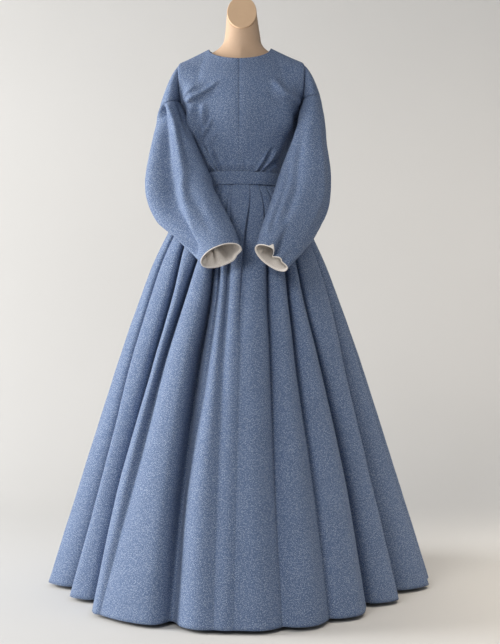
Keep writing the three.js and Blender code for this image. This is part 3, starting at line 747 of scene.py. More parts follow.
    def build(self, cloth: Material) -> None:
        """Makes the four breadths."""
        for name, first, last, rows in self.breadths:
            sheet = Sheet(name + "_cloth", 1.0 * MM)
            sheet.lay((last - first) * self.columns, rows, partial(self.breadth, first, last))
            piece = sheet.finish(cloth, Slot.PRINT, name)
            waist, hem = self.cut_widths(first, last)

    def cut_widths(self, first: int, last: int) -> list[float]:
        """A breadth's widths at the waist and the hem, measured along its pleats."""
        place = np.linspace(first, last, self.measured * (last - first) + 1)
        rows = (self.surface(place, np.full(len(place), z)) for z in (self.stations[0], self.hem))
        return [float(np.linalg.norm(np.diff(row, axis=0), axis=1).sum()) for row in rows]


# --- the bodice and the sleeves


@dataclass(frozen=True)
class Ring:
    """A ring of a sleeve, in millimetres and degrees: its middle, the drop of its outer edge,
    its half width in that direction, and its depth in front of and behind the middle."""

    out: float
    y: float
    z: float
    drop: float
    wide: float
    front: float
    back: float


@dataclass(frozen=True)
class Side:
    """One side of the bodice. Each point is its distance from the centre plane and its height,
    in millimetres; the lining's cut is in metres."""

    name: str
    sign: int
    waist: Pair
    ribs: Pair
    armpit: Pair
    neck: Pair
    tip: Pair
    cap_outer: Pair
    cap_inner: Pair
    lining_cut: Pair
    rings: tuple[Ring, ...]


RIGHT = Side(
    name="right",
    sign=-1,
    waist=(118, 1103),
    ribs=(139, 1212),
    armpit=(153, 1290),
    neck=(83, 1443),
    tip=(164, 1402),
    cap_outer=(216, 1281),
    cap_inner=(157, 1296),
    lining_cut=(0.36, 0.10),
    rings=each(
        Ring,
        (179.5, -38, 1228, 4, 45.5, 66, 56),
        (173, -64, 1172, 2, 61, 64, 40),
        (165, -87, 1102, 5, 81, 62, 38),
        (156, -114, 1054, 18, 89, 57, 33),
        (139, -145, 1010, 32, 86, 51, 28),
        (106, -188, 969, 36, 75, 46, 27),
        (69, -234, 916, 31, 63, 41, 27),
        (42, -282, 869, 22, 52, 36, 32),
    ),
)
LEFT = Side(
    name="left",
    sign=1,
    waist=(118, 1103),
    ribs=(156, 1212),
    armpit=(165, 1292),
    neck=(84, 1446),
    tip=(173, 1404),
    cap_outer=(219, 1309),
    cap_inner=(168, 1303),
    lining_cut=(0.30, 0.09),
    rings=each(
        Ring,
        (191, -40, 1228, 0, 37, 68, 58),
        (183, -62, 1172, 0, 49, 66, 46),
        (175, -84, 1102, 5, 66, 64, 42),
        (163, -114, 1032, 22, 74, 60, 34),
        (145, -156, 984, 24, 72, 52, 28),
        (126, -196, 943, 24, 68, 46, 27),
        (106, -236, 906, 26, 60, 38, 26),
        (80, -280, 864, 37, 47, 30, 26),
    ),
)


class Face(Enum):
    """The two faces of the bodice, by the sign of y."""

    FRONT = -1
    BACK = 1


@dataclass(frozen=True)
class Bodice:
    """The fitted bodice with its two shoulder caps, in millimetres."""

    armhole_depth: float = 58
    armhole_bow: float = 7
    armscye_depth: float = 74
    cap_fullness: float = 0.15
    neckline_power: float = 1.7
    # Rise, y and z of the centre lines, in millimetres. A rise of 1 is the armpit and 2 the neck.
    centre_front: Table = (
        (0, -90, 1103), (0.5, -107, 1190), (1, -119, 1276), (1.5, -107, 1342), (2, -71, 1404)
    )
    centre_back: Table = (
        (0, 90, 1103), (0.5, 97, 1192), (1, 112, 1282), (1.5, 106, 1362), (2, 60, 1437)
    )
    # The depth of the crease along the armhole, by its angle from the shoulder tip.
    armhole_crease: Table = ((0, 3), (35, 9), (90, 13), (140, 11), (180, 2))
    armhole_pull_share: Pair = (0.5, 0.85)
    crease_reach: float = 2.6
    crease_span: Pair = (0.98, 1.1)
    cap_crease_reach: float = 20
    # The other creases die away near the armhole and the side, and push partly sideways.
    keep_reach: float = 4
    side_margin: float = 0.86
    sideways: float = 0.6
    rib_rise: float = 0.6
    seam_depth: float = 1.6
    seam_reach: float = 0.02
    seam_span: Pair = (0.3, 0.9)
    cap_seam_reach: float = 3
    # The blouse over the band: how far it stands out, and its middle and width in rise.
    blouse: Triple = (4.5, 0.09, 0.06)
    swell: Table = ((0.9, 0.06, 21.3), (0.5, 0.022, 5.9))
    # Cells across and up the lower torso, up the upper one, and across the cap.
    cells: tuple[int, int, int, int] = (102, 84, 76, 22)
    # The front's creases, as seen from the front, in millimetres.
    creases: tuple[Crease, ...] = each(
        Crease,
        (((-50, 1340), (-70, 1322), (-98, 1302), (-130, 1281)), 6.5, -10, 0.5, (0.4, 0.15)),
        (((-58, 1325), (-86, 1300), (-114, 1276)), 9, 6),
        (((-104, 1330), (-120, 1313), (-137, 1298)), 5, -5, 0.3, (0.4, 0.1)),
        (((-70, 1246), (-78, 1222), (-93, 1196), (-106, 1170)), 5, -11, 0.4),
        (((-55, 1206), (-71, 1188), (-77, 1168)), 4.5, -6),
        (((-99, 1180), (-80, 1140), (-58, 1104)), 4.5, 12, 0.3, (0.4, 0)),
        (((-77, 1172), (-63, 1138), (-49, 1104)), 4.5, 12, 0.3, (0.5, 0)),
        (((-88, 1168), (-72, 1136), (-54, 1104)), 5, -9, 0, (0.5, 0)),
        (((-114, 1150), (-92, 1118), (-74, 1104)), 9, 13, 0, (0.4, 0)),
        (((-112, 1350), (-126, 1290), (-120, 1190)), 24, -24, 0, (0.3, 0.3)),
        (((-119, 1284), (-118, 1256), (-119, 1225), (-114, 1176)), 7, -11, 0.3),
        (((-92, 1296), (-93, 1256), (-95, 1225), (-92, 1170)), 7, -9, -0.3),
        (((-107, 1290), (-106, 1256), (-106, 1206)), 5, 5, 0),
        (((-82, 1262), (-84, 1228), (-80, 1190)), 5, 5, 0),
        (((-145, 1292), (-144, 1248), (-134, 1195), (-118, 1160)), 12, 14, 0, (0.2, 0.4)),
        (((86, 1352), (98, 1322), (115, 1300), (136, 1290), (160, 1288)), 11, -15, -0.4, (0.3, 0.1)),
        (((120, 1350), (131, 1290), (128, 1190)), 30, -14, 0.4, (0.3, 0.3)),
        (((70, 1322), (92, 1292), (118, 1274)), 10, 5),
        (((158, 1274), (152, 1222), (134, 1170), (110, 1108)), 14, 18, 0, (0.12, 0.1)),
        (((94, 1172), (72, 1138), (51, 1104)), 4, 10, -0.3, (0.45, 0)),
        (((80, 1166), (62, 1132), (44, 1104)), 4, -6, 0, (0.5, 0)),
        (((104, 1166), (84, 1134), (58, 1104)), 4.5, -8, 0, (0.5, 0)),
        (((119, 1150), (94, 1132), (62, 1104)), 5, 10, 0, (0.4, 0)),
        (((-34, 1150), (-33, 1128), (-31, 1106)), 5, 3.5, 0, (0.6, 0)),
        (((12, 1140), (14, 1122), (16, 1106)), 5, 3, 0, (0.6, 0)),
    )
    back_creases: tuple[Crease, ...] = each(
        Crease,
        (((-60, 1180), (-55, 1142), (-48, 1104)), 6, 6, 0.3, (0.5, 0)),
        (((-86, 1168), (-76, 1136), (-66, 1104)), 7, 5, 0, (0.5, 0)),
        (((62, 1176), (56, 1140), (50, 1104)), 6, 6, -0.3, (0.5, 0)),
        (((90, 1172), (80, 1136), (68, 1104)), 7, 5, 0, (0.5, 0)),
        (((-30, 1392), (-70, 1352), (-118, 1312)), 14, -4),
        (((34, 1390), (78, 1346), (122, 1306)), 14, -4),
        (((-128, 1300), (-122, 1250), (-108, 1190)), 12, 7),
        (((138, 1300), (132, 1250), (116, 1190)), 12, 7),
    )

    def armhole(self, side: Side, face: Face, angle: Array) -> Array:
        """Points of the natural armhole: an angle of 0 is the shoulder tip and 180 the armpit."""
        size = (self.armhole_bow, self.armhole_depth)
        return self.opening(side, face, angle, (side.armpit, side.tip), size)

    def armscye(self, side: Side, face: Face, angle: Array) -> Array:
        """Points of the dropped armhole seam, by the same angle."""
        size = (0, self.armscye_depth)
        return self.opening(side, face, angle, (side.cap_inner, side.cap_outer), size)

    @staticmethod
    def opening(side: Side, face: Face, angle: Array, ends: tuple[Pair, Pair], size: Pair) -> Array:
        """Points of half an opening for the arm.

        Args:
            side: the wearer's right or left.
            face: the front or the back.
            angle: 180 at the first end and 0 at the second.
            ends: the two ends, each by its distance from the centre plane and its height.
            size: how far it bows away from the centre plane, and half its depth from front to back.

        Returns:
            The points, in millimetres.
        """
        turn = np.radians(angle)
        out, height = (mix(low, high, (1 + np.cos(turn)) / 2) for low, high in zip(*ends))
        bow, ahead = (length * np.sin(turn) for length in size)
        return points(side.sign * (out + bow), face.value * ahead, height)

    def armhole_pull(self, side: Side, face: Face, angle: Array) -> Array:
        """How far the crease along the armhole pulls the cloth in, as vectors."""
        turn = np.radians(angle)
        out, ahead = (share * np.sin(turn) for share in self.armhole_pull_share)
        way = unit(points(-side.sign * out, -face.value * ahead, -np.maximum(np.cos(turn), 0)))
        table = np.array(self.armhole_crease)
        return way * through(table[:, 0], table[:, 1], angle)[:, None]

    def torso(self, side: Side, face: Face, u: Array, rise: Array) -> Array:
        """A quarter of the bodice without its cap.

        Args:
            side: the wearer's right or left.
            face: the front or the back.
            u: from 0 at the centre line to 1 at the side.
            rise: from 0 at the waist, through 1 at the armpit, to 2 at the neck.

        Returns:
            The points, in millimetres.
        """
        line = np.array(self.centre_front if face is Face.FRONT else self.centre_back)
        neck_y, neck_z = line[-1, 1:]
        quarter = np.pi / 2 * u
        bend, out = np.cos(quarter), np.sin(quarter)
        centre = through(line[:, 0], line[:, 1:], rise)
        rows = np.array([side.waist, side.ribs, side.armpit])
        out_at, height_at = through((0, self.rib_rise, 1), rows, np.minimum(rise, 1)).T
        angle = 180 * (2 - np.maximum(rise, 1))
        low, high = points(side.sign * out_at, 0.0, height_at), self.armhole(side, face, angle)
        edge = np.where((rise <= 1)[:, None], low, high)
        ahead, height = (mix(edge[:, axis], centre[:, axis - 1], bend) for axis in (1, 2))
        place = points(edge[:, 0] * out, ahead, height)
        tip = self.armhole(side, face, np.zeros(1))[0]
        top = points(tip[0] * out, mix(tip[1], neck_y, bend), mix(tip[2], neck_z, bend))
        lift = np.clip(rise - 1, 0, 1) ** self.neckline_power
        place = place + (self.top_edge(side, neck_y, neck_z, u) - top) * lift[:, None]
        inward = points(-side.sign * out * self.sideways, -face.value * bend, 0.0)
        creases = self.creases if face is Face.FRONT else self.back_creases
        middle = 1 - ease(u, self.side_margin, 1)
        stands_out, *band = self.blouse
        depth = relief_of(creases, place[:, 0], place[:, 2]) * middle
        depth = depth + self.seam_depth * np.exp(-u / self.seam_reach) * ease(rise, *self.seam_span)
        depth = depth - stands_out * bell(rise, *band) * middle - uneven(place * MM, self.swell)
        gap = np.linalg.norm(place - edge, axis=1)
        near = np.exp(-gap / self.crease_reach) * ease(rise, *self.crease_span)
        keep = 1 - np.exp(-gap / self.keep_reach)
        return place + inward * (depth * keep)[:, None] + self.armhole_pull(side, face, angle) * near[:, None]

    def top_edge(self, side: Side, neck_y: float, neck_z: float, u: Array) -> Array:
        """The neckline and the shoulder seam: u of 0 is the centre, 0.5 the neck point, 1 the tip."""
        share = np.clip((u - 0.5) / 0.5, 0, 1)
        out = mix(side.neck[0], side.tip[0], share)
        shoulder = points(side.sign * out, 0.0, mix(side.neck[1], side.tip[1], share))
        turn = np.pi * np.minimum(u, 0.5)
        height = mix(side.neck[1], neck_z, np.cos(turn))
        neckline = points(side.sign * side.neck[0] * np.sin(turn), neck_y * np.cos(turn), height)
        return np.where((u > 0.5)[:, None], shoulder, neckline)

    def cap(self, side: Side, face: Face, angle: Array, along: Array) -> Array:
        """The shoulder cap from the natural armhole, at an along of 0, to the sleeve seam at 1."""
        both = np.array([0.0, 180.0])
        rings = (self.armhole, self.armscye)
        middle = mix(*(ring(side, face, both).mean(axis=0) for ring in rings), along[:, None])
        start, end = (ring(side, face, angle) for ring in rings)
        over = (1 + np.cos(np.radians(angle))) / 2
        swell = 1 + self.cap_fullness * np.sin(np.pi * along) * over
        place = middle + (mix(start, end, along[:, None]) - middle) * swell[:, None]
        across = np.linalg.norm(end - start, axis=1)
        near = np.exp(-across * along / self.cap_crease_reach) * (1 - along)
        groove = self.seam_depth * np.exp(-across * (1 - along) / self.cap_seam_reach)
        pull = self.armhole_pull(side, face, angle) * near[:, None]
        return place + pull - unit(place - middle) * groove[:, None]

    def quarter(self, sheet: Sheet, side: Side, face: Face) -> None:
        """Lays one quarter's torso and cap."""
        columns, low, high, cap = self.cells
        for across, up, surface in (
            (columns, low, lambda u, v: self.torso(side, face, u, v)),
            (columns, high, lambda u, v: self.torso(side, face, u, 1 + v)),
            (cap, high, lambda u, v: self.cap(side, face, 180 * (1 - v), u)),
        ):
            sheet.lay(across, up, surface, side.sign * face.value > 0)

    def build(self, cloth: Material) -> None:
        """Makes the two fronts and the back."""
        plan = (
            ("bodice_front_right", (RIGHT,), Face.FRONT, (0.30, 0.42), 0.086),
            ("bodice_front_left", (LEFT,), Face.FRONT, (0.30, 0.42), 0.088),
            ("bodice_back", (RIGHT, LEFT), Face.BACK, (0.58, 0.43), 0.175),
        )
        for name, sides, face, flat, area in plan:
            sheet = Sheet(name + "_cloth", 1.0 * MM, MM)
            for side in sides:
                self.quarter(sheet, side, face)
            piece = sheet.finish(cloth, Slot.PRINT, name)


@dataclass(frozen=True)
class Sleeve:
    """A two-piece sleeve and the lining inside its cuff."""

    side: Side
    bodice: Bodice
    creases: tuple[Crease, ...]
    # The lining's rucks inside the cuff, and the corner where it is turned back over the edge:
    # each an angle and a width in degrees, and a height in millimetres.
    rucks: Table
    turned_back: Triple
    # The lining: the share of it that is rolled over the edge and how far, the place along the
    # sleeve where it ends, and how far it lies inside the cuff and stands proud of the edge.
    roll_share: float = 0.15
    roll_depth: float = 0.6
    lining_end: float = 0.84
    lining_inset: float = 2.2
    lining_proud: float = 1.0
    ruck_span: Pair = (0.03, 0.3)
    # The length in millimetres that the folds take for the whole sleeve, and for one radian round.
    length_scale: float = 430
    girth_scale: float = 80
    # The folds die away within this many degrees of the outer seam.
    seam_margin: float = 12
    swell: Table = ((1.1, 0.07, 13.0), (0.5, 0.026, 31.0))
    swell_span: Pair = (0.02, 0.1)
    # The groove along the armhole seam dies away over this share of the length. The one along
    # each side seam has a depth in millimetres and a width in degrees.
    armhole_reach: float = 1 / 140
    side_groove: float = 0.9
    side_reach: float = 2.5 / 1.3
    side_span: Pair = (0.05, 0.3)
    cells: tuple[int, int] = (76, 130)
    lining_cells: tuple[int, int] = (132, 40)

    def rings(self) -> Array:
        """The sleeve's rings as rows, the first of them on the armhole seam: the middle, the
        drop, the three half sizes, and the direction of the front."""
        (outer, low), (inner, high) = self.side.cap_outer, self.side.cap_inner
        across, down, deep = outer - inner, high - low, self.bodice.armscye_depth
        middle, drop = ((outer + inner) / 2, 0, (low + high) / 2), math.degrees(math.atan2(down, across))
        first = (*middle, drop, math.hypot(across, down) / 2, deep, deep)
        rows = np.array([first, *(astuple(ring) for ring in self.side.rings)])
        middles = np.pad(rows[:, :3], ((1, 1), (0, 0)), mode="edge")
        drop = np.radians(rows[:, 3])
        edge = points(np.cos(drop), 0.0, -np.sin(drop))
        ahead = unit(np.cross(unit(middles[2:] - middles[:-2]), edge))
        ahead[0] = (0, -1, 0)
        return np.hstack([rows, ahead])

    def surface(self, angle: Array, along: Array, inset: float | Array = 0.0) -> Array:
        """Points on the sleeve, in millimetres.

        Args:
            angle: 0 is its outer edge, 90 its front, 180 its inner edge and 270 its back.
            along: from 0 at the armhole seam to 1 at the cuff.
            inset: how far inside the sleeve's outer face they lie.

        Returns:
            The points.
        """
        rings = self.rings()
        ring = through(np.linspace(0, 1, len(rings)), rings, along)
        turn, drop = np.radians(angle), np.radians(ring[:, 3])
        length, girth = along * self.length_scale, np.radians(angle) * self.girth_scale
        from_seam = 180 - np.abs(180 - angle % 360)
        swell = -relief_of(self.creases, girth, length) * ease(from_seam, 0, self.seam_margin) - inset
        wide = (ring[:, 4] + swell) * np.cos(turn)
        deep = np.where(np.sin(turn) > 0, ring[:, 5], ring[:, 6]) + swell
        ahead = ring[:, 7:] * (deep * np.sin(turn))[:, None]
        middle = ring[:, :3] + ahead
        mirror = (self.side.sign, 1, 1)
        place = (middle + points(wide * np.cos(drop), 0.0, -wide * np.sin(drop))) * mirror
        outward = unit(place - ring[:, :3] * mirror)
        bumps = uneven(place * MM, self.swell) * ease(along, *self.swell_span)
        bumps = bumps - self.bodice.seam_depth * np.exp(-along / self.armhole_reach)
        to_seam = np.minimum(np.abs(angle % 180), 180 - np.abs(angle % 180))
        bumps = bumps - self.side_groove * np.exp(-to_seam / self.side_reach) * ease(along, *self.side_span)
        return place + outward * bumps[:, None]

    def panel(self, name: str, first: float, cloth: Material) -> None:
        """Makes the panel that starts at an angle, with its flat cut."""
        node = f"sleeve_{name}_{self.side.name}"
        sheet = Sheet(node + "_cloth", 1.0 * MM, MM)
        sheet.lay(*self.cells, lambda u, v: self.surface(first + 180 * u, 1 - v), self.side.sign > 0)
        piece = sheet.finish(cloth, Slot.PRINT, node)

    def lining_surface(self, u: Array, v: Array) -> Array:
        """Points on the lining: u goes round the cuff, and v from its rolled edge to its inner end."""
        angle, inside = 360 * u, np.clip((v - self.roll_share) / (1 - self.roll_share), 0, 1)
        middle, spread, length = self.turned_back
        out = np.clip(1 - v / self.roll_share, 0, 1)
        roll = out * (self.roll_depth + length * bell(angle, middle, spread)) / self.length_scale
        along = np.where(inside > 0, mix(1, self.lining_end, inside), 1 - roll)
        within, proud = self.lining_inset * ease(inside, 0, 0.04), -self.lining_proud * ease(out, 0, 0.5)
        inset = np.where(inside > 0, within, proud)
        for turn, width, height in self.rucks:
            gap = (angle - turn + 180) % 360 - 180
            inset = inset + height * bell(gap, 0, width, 4) * ease(inside, *self.ruck_span)
        return self.surface(angle, along, inset)

    def lining(self, cloth: Material) -> None:
        """Makes the lining that shows inside the cuff, rolled out over the cuff's edge."""
        node = f"cuff_lining_{self.side.name}"
        sheet = Sheet(node + "_cloth", 0.9 * MM, MM)
        sheet.lay(*self.lining_cells, self.lining_surface, self.side.sign > 0)
        piece = sheet.finish(cloth, Slot.LINING, node)

    def build(self, cloth: Material, lining: Material) -> None:
        """Makes both panels and the lining."""
        self.panel("upper", 0, cloth)
        self.panel("under", 180, cloth)
        self.lining(lining)


# --- the waistband


@dataclass(frozen=True)
class Waistband:
    """The narrow band at the waist, with its lapped end on the left of the front."""

    low: float = 1.068
    high: float = 1.103
    half_width: float = 0.118
    half_depth: float = 0.090
    proud: float = 1.0 * MM
    roll: float = 0.6 * MM
    roll_power: int = 12
    # The lapped end: its thickness, and where it starts and dies away, as shares of the way round.
    lap: float = 1.1 * MM
    lap_start: Pair = (0.0655, 0.0675)
    lap_end: Pair = (0.25, 0.3)
    swell: Table = ((0.5 * MM, 0.03, 2.2),)
    cells: tuple[int, int] = (260, 16)

    def surface(self, u: Array, v: Array) -> Array:
        """Points on the band: u goes once round it, and v from its lower to its upper edge."""
        angle = 2 * np.pi * u
        lap = self.lap * ease(u, *self.lap_start) * (1 - ease(u, *self.lap_end))
        out = self.proud + self.roll * (1 - (2 * v - 1) ** self.roll_power) + lap
        wide, deep = (self.half_width + out) * np.sin(angle), (self.half_depth + out) * np.cos(angle)
        place = points(wide, -deep, mix(self.low, self.high, v))
        return place + unit(place * (1, 1, 0)) * uneven(place, self.swell)[:, None]

    def build(self, cloth: Material) -> None:
        """Makes the band as a closed ring."""
        sheet = Sheet("waistband_cloth", 1.4 * MM)
        sheet.lay(*self.cells, self.surface)
        piece = sheet.finish(cloth, Slot.PRINT, "waistband")


# --- the form and its stand


@dataclass(frozen=True)
class DressForm:
    """The limbless form: a torso with a leaning neck, its cap, a pole and a round base."""

    # The middle's lean, height, half width, half depth and power of each ring, in millimetres.
    rings: Table = (
        (0, 842, 138, 92, 2.2), (0, 848, 145, 99, 2.2), (0, 910, 148, 108, 2.2),
        (0, 980, 134, 104, 2.1), (0, 1040, 112, 84, 2.0), (0, 1070, 108, 78, 2.0),
        (0, 1115, 107, 79, 2.0), (0, 1200, 114, 93, 2.0), (0, 1265, 124, 101, 2.0),
        (0, 1310, 134, 95, 2.0), (0, 1350, 144, 84, 2.0), (1, 1378, 147, 72, 2.0),
        (2, 1396, 140, 63, 1.6), (3, 1412, 118, 57, 1.4), (4, 1427, 92, 53, 1.4),
        (6, 1440, 68, 50, 1.7), (7, 1456, 53, 48, 2.0), (8, 1476, 48, 46, 2.0),
    )
    # The middle of the neck's top, as its lean and height, its half width and depth, and the
    # slope of the cut in degrees.
    neck_top: tuple[float, float, float, float] = (6, 1541, 40, 42)
    slope: float = 52.0
    cap_thick: float = 5 * MM
    cap_round: float = 1.9 * MM
    segments: int = 96
    rows: int = 150
    # The radius and height of each corner of the turned pieces' outlines, in metres.
    base: Table = (
        (0.0, 0.0), (0.187, 0.0), (0.190, 0.002), (0.190, 0.005), (0.187, 0.008),
        (0.034, 0.008), (0.028, 0.011), (0.0245, 0.018), (0.0235, 0.034), (0.0, 0.034),
    )
    pole: Table = (
        (0.0, 0.0345), (0.0135, 0.0345), (0.014, 0.035), (0.014, 0.8412), (0.0135, 0.8417), (0.0, 0.8417),
    )

    def torso(self, u: Array, v: Array) -> Array:
        """Points on the form, from its lower edge up to the sloping top of its neck."""
        lean, height, wide, deep, power = np.array((*self.rings, (*self.neck_top, 2.0))).T
        level = mix(height[0], height[-1], v)
        middle, *shape = through(height, np.stack([lean, wide, deep, power], axis=1), level).T
        angle = 2 * np.pi * u
        radius = outline_radius(angle, *shape)
        ahead = -radius * np.cos(angle)
        tilt = np.radians(self.slope) * np.clip((level - height[-2]) / (height[-1] - height[-2]), 0, 1)
        return points(middle + radius * np.sin(angle), ahead, level + ahead * np.tan(tilt))

    def build_torso(self, skin: Material) -> None:
        """Makes the closed torso."""
        shell = Sheet("form_body", 0, MM)
        shell.lay(self.segments, self.rows, self.torso)
        mesh = shell.mesh
        bmesh.ops.remove_doubles(mesh, verts=mesh.verts, dist=MERGE)
        bmesh.ops.holes_fill(mesh, edges=[e for e in mesh.edges if e.is_boundary], sides=0)
        smooth(mesh, 4)
        settle(new_object("form_body", mesh, skin), Slot.SKIN, "form_torso")

    def build_cap(self, finish: Material) -> None:
        """Makes the oval cap on the neck, with a rounded edge."""
        lean, top, wide, deep = (value * MM for value in self.neck_top)
        tilt = math.radians(self.slope)
        mesh = bmesh.new()
        bmesh.ops.create_circle(mesh, cap_ends=True, segments=self.segments, radius=1)
        bmesh.ops.scale(mesh, vec=(wide, deep / math.cos(tilt), 1), verts=mesh.verts)
        upper = grown(bmesh.ops.extrude_face_region(mesh, geom=mesh.faces[:]), bmesh.types.BMVert)
        bmesh.ops.translate(mesh, vec=(0, 0, self.cap_thick), verts=upper)
        bmesh.ops.recalc_face_normals(mesh, faces=mesh.faces)
        rim = [e for e in mesh.edges if all(v in upper for v in e.verts)]
        rounding = {"offset": self.cap_round, "offset_type": "OFFSET", "segments": 4, "profile": 0.5}
        bmesh.ops.bevel(mesh, geom=rim, affect="EDGES", material=-1, **rounding)
        smooth(mesh, 4)
        mesh.transform(Matrix.Translation((lean, 0, top)) @ Matrix.Rotation(tilt, 4, "X"))
        settle(new_object("form_cap", mesh, finish), Slot.CAP, "neck_cap")

    def build_stand(self, metal: Material) -> None:
        """Makes the pole and the base by turning their outlines."""
        turn = {"cent": (0, 0, 0), "axis": (0, 0, 1), "angle": 2 * math.pi, "steps": self.segments}
        for name, node, outline in (
            ("base_plate", "stand_base", self.base),
            ("pole_tube", "stand_pole", self.pole),
        ):
            mesh = bmesh.new()
            line = [mesh.verts.new((radius, 0, height)) for radius, height in outline]
            edges = [mesh.edges.new(pair) for pair in zip(line, line[1:])]
            bmesh.ops.spin(mesh, geom=line + edges, use_merge=True, **turn)
            bmesh.ops.remove_doubles(mesh, verts=mesh.verts, dist=MERGE)
            bmesh.ops.recalc_face_normals(mesh, faces=mesh.faces)
            settle(new_object(name, mesh, metal), Slot.METAL, node)


# --- the studio


@dataclass(frozen=True)
class Lamp:
    """A square soft lamp at a place, aimed at a point, whose light spreads by some degrees."""

    name: str
    size: float
    power: float
    colour: Triple
    place: Triple
    aim: Triple
    spread: float = 180

    def light(self) -> None:
        """Puts the lamp in the scene."""
        data = bpy.data.lights.new(self.name, "AREA")
        data.size, data.energy, data.color = self.size, self.power, self.colour
        data.spread = math.radians(self.spread)
        turn = (Vector(self.aim) - Vector(self.place)).to_track_quat("-Z", "Y").to_euler()
        put(self.name, data, self.place, turn)


@dataclass(frozen=True)
class Studio:
    """A pale floor that curves up into a wall, soft lamps and the camera."""

    eye: Triple = (0.028, -3.140, 0.707)
    lens: float = 65.0
    sensor: float = 36.0
    half_span: float = 9.0
    front: float = 7.0
    wall: float = 2.6
    curve: float = 1.4
    height: float = 4.5
    curve_steps: int = 24
    shades: tuple[Colour, Colour] = ((0.60, 0.593, 0.58, 1), (0.63, 0.623, 0.612, 1))
    sky: Colour = (0.95, 0.97, 1.0, 1)
    sky_strength: float = 0.33
    lamps: tuple[Lamp, ...] = (
        Lamp("window", 2.4, 360.0, (1.0, 0.99, 0.97), (-4.6, 0.1, 1.85), (0.0, -1.7, 0.8)),
        Lamp("front_fill", 1.4, 66.0, (1.0, 0.98, 0.95), (-1.8, -3.4, 2.6), (0.0, 0.0, 1.1)),
        Lamp("room", 1.6, 14.0, (1.0, 0.91, 0.80), (3.6, -2.2, 1.6), (1.5, 2.6, 0.0), 66),
        Lamp("ceiling", 1.2, 10.5, (1.0, 0.88, 0.72), (1.5, -0.4, 2.6), (1.4, -0.4, 0.0), 70),
    )

    def backdrop_finish(self) -> Material:
        """The backdrop's pale finish, which is clear from behind."""
        made, graph, surface = blank_material("pale backdrop")
        place = graph.add("TexCoord").outputs["Object"]
        cloud = graph.add("TexNoise", {"Vector": place, "Scale": 1.3, "Detail": 2.0}).outputs["Fac"]
        behind = graph.add("NewGeometry").outputs["Backfacing"]
        tone, front_only = graph.blend(cloud, *self.shades), graph.math("SUBTRACT", 1.0, behind)
        graph.fill(surface, {"Base Color": tone, "Alpha": front_only, "Roughness": 0.9})
        return made

    def backdrop(self) -> None:
        """Makes the floor and the wall as one swept sheet."""
        mesh = bmesh.new()
        ends = [mesh.verts.new((x, -self.front, 0)) for x in (-self.half_span, self.half_span)]
        run = bmesh.ops.extrude_edge_only(mesh, edges=[mesh.edges.new(ends)])
        moved, edge = grown(run, bmesh.types.BMVert), grown(run, bmesh.types.BMEdge)
        depth = self.wall - self.curve
        bmesh.ops.translate(mesh, vec=(0, self.front + depth, 0), verts=moved)
        bend = {"cent": (0, depth, self.curve), "axis": (1, 0, 0), "angle": math.pi / 2}
        bmesh.ops.spin(mesh, geom=moved + edge, steps=self.curve_steps, **bend)
        top = [e for e in mesh.edges if all(v.co.z > self.curve - MERGE for v in e.verts)]
        rise = bmesh.ops.extrude_edge_only(mesh, edges=top)
        bmesh.ops.translate(mesh, vec=(0, 0, self.height), verts=grown(rise, bmesh.types.BMVert))
        bmesh.ops.recalc_face_normals(mesh, faces=mesh.faces)
        if min(mesh.faces, key=lambda face: face.calc_center_median().y).normal.z < 0:
            bmesh.ops.reverse_faces(mesh, faces=mesh.faces)
        smooth(mesh)
        new_object("backdrop", mesh, self.backdrop_finish())

    def build(self) -> None:
        """Makes the backdrop, the lamps, the sky and the camera."""
        self.backdrop()
        for lamp in self.lamps:
            lamp.light()
        scene = bpy.context.scene
        scene.world = bpy.data.worlds.new("studio")
        scene.world.use_nodes = True
        graph = Graph(scene.world.node_tree)
        background = {"Color": self.sky, "Strength": self.sky_strength}
        graph.fill(graph.tree.nodes["Background"], background)
        scene.view_settings.view_transform = "Standard"
        data = bpy.data.cameras.new("camera")
        data.lens, data.sensor_width = self.lens, self.sensor
        scene.camera = put("camera", data, self.eye, (math.pi / 2, 0, 0))


# --- the whole


def folds(*rows: tuple) -> tuple[Crease, ...]:
    """A sleeve's long soft folds.

    Args:
        rows: each a crease's values. Its line has degrees round the sleeve and shares along it.

    Returns:
        The creases, in millimetres.
    """
    girth, length = math.radians(Sleeve.girth_scale), Sleeve.length_scale
    lines = (tuple((turn * girth, along * length) for turn, along in row[0]) for row in rows)
    return tuple(Crease(line, *row[1:]) for line, row in zip(lines, rows))


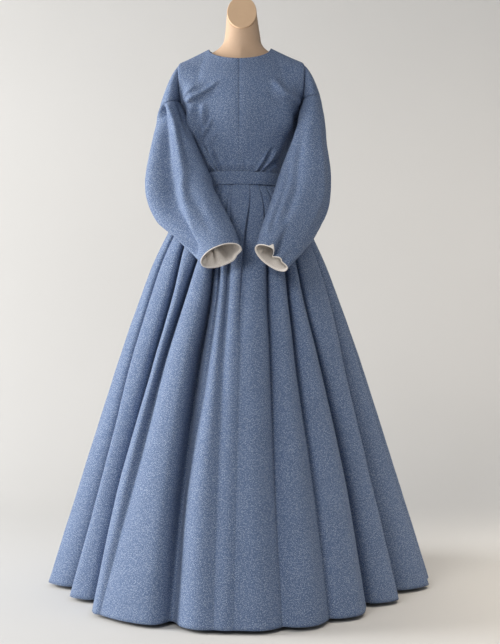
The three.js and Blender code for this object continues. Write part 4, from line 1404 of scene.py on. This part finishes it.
RIGHT_FOLDS = folds(
    (((74, 0.03), (98, 0.2), (105, 0.5), (98, 0.63), (76, 0.76), (48, 0.9)), 12, -6, 0.3, (0.1, 0.1)),
    (
        ((44, 0.02), (69, 0.2), (79, 0.5), (74, 0.62), (54, 0.76), (22, 0.9), (18, 0.97)),
        36, 29, -0.55, (0.05, 0.1),
    ),
    (((136, 0.0), (140, 0.3)), 26, 9, 0, (0.2, 0.4)),
    (((112, 0.08), (116, 0.4), (106, 0.75), (90, 0.95)), 16, 5, 0, (0.2, 0.2)),
    (((250, 0.2), (250, 0.9)), 30, -6),
    (((140, 0.3), (146, 0.75)), 20, -5),
    (((216, 0.9), (218, 1.04)), 24, 7, 0, (0.9, 0)),
    (((152, 0.0), (152, 0.16)), 30, -3.5, 0, (0.15, 0.5)),
)
LEFT_FOLDS = folds(
    (((140, 0.1), (140, 0.5), (134, 0.95)), 13, -7, 0, (0.15, 0.1)),
    (((112, 0.16), (112, 0.5), (106, 0.9)), 15, 7, 0, (0.3, 0.3)),
    (((74, 0.2), (70, 0.9)), 24, -4),
    (((56, 0.1), (50, 0.9)), 14, -5),
    (((240, 0.2), (240, 0.9)), 30, -6),
    (((24, 0.2), (18, 0.75)), 10, 6),
    (((140, 0.15), (136, 0.6), (130, 0.95)), 12, 8, 0, (0.3, 0.2)),
    (((92, 0.78), (88, 1.04)), 21, 23, -0.9, (0.9, 0)),
    (((46, 0.86), (42, 1.04)), 24, 12, 0, (0.9, 0)),
    (((156, 0.0), (156, 0.16)), 30, -3, 0, (0.15, 0.5)),
)
# Each sleeve: its side, its folds, the rucks in its lining and the lining's turned-back corner.
SLEEVES = (
    (RIGHT, RIGHT_FOLDS, ((276, 14, 25), (312, 17, 27), (345, 14, 19), (205, 9, 3)), (90, 1, 0)),
    (LEFT, LEFT_FOLDS, ((222, 12, 6), (300, 20, 5)), (107, 6, 9)),
)


def main() -> None:
    """Builds the dress, the form and the studio, in order."""
    logging.basicConfig(level=logging.INFO, format="%(name)s: %(message)s")
    effects = SharedEffects()
    cotton, lining = COTTON.material(effects), LINING.material(effects)
    skin, cap, metal = (finish.material(effects) for finish in (SKIN, CAP, METAL))
    Studio().build()
    form = DressForm()
    form.build_torso(skin)
    form.build_cap(cap)
    form.build_stand(metal)
    bodice = Bodice()
    bodice.build(cotton)
    for side, *shape in SLEEVES:
        Sleeve(side, bodice, *shape).build(cotton, lining)
    Waistband().build(cotton)
    Skirt().build(cotton)


if __name__ == "__main__":
    main()
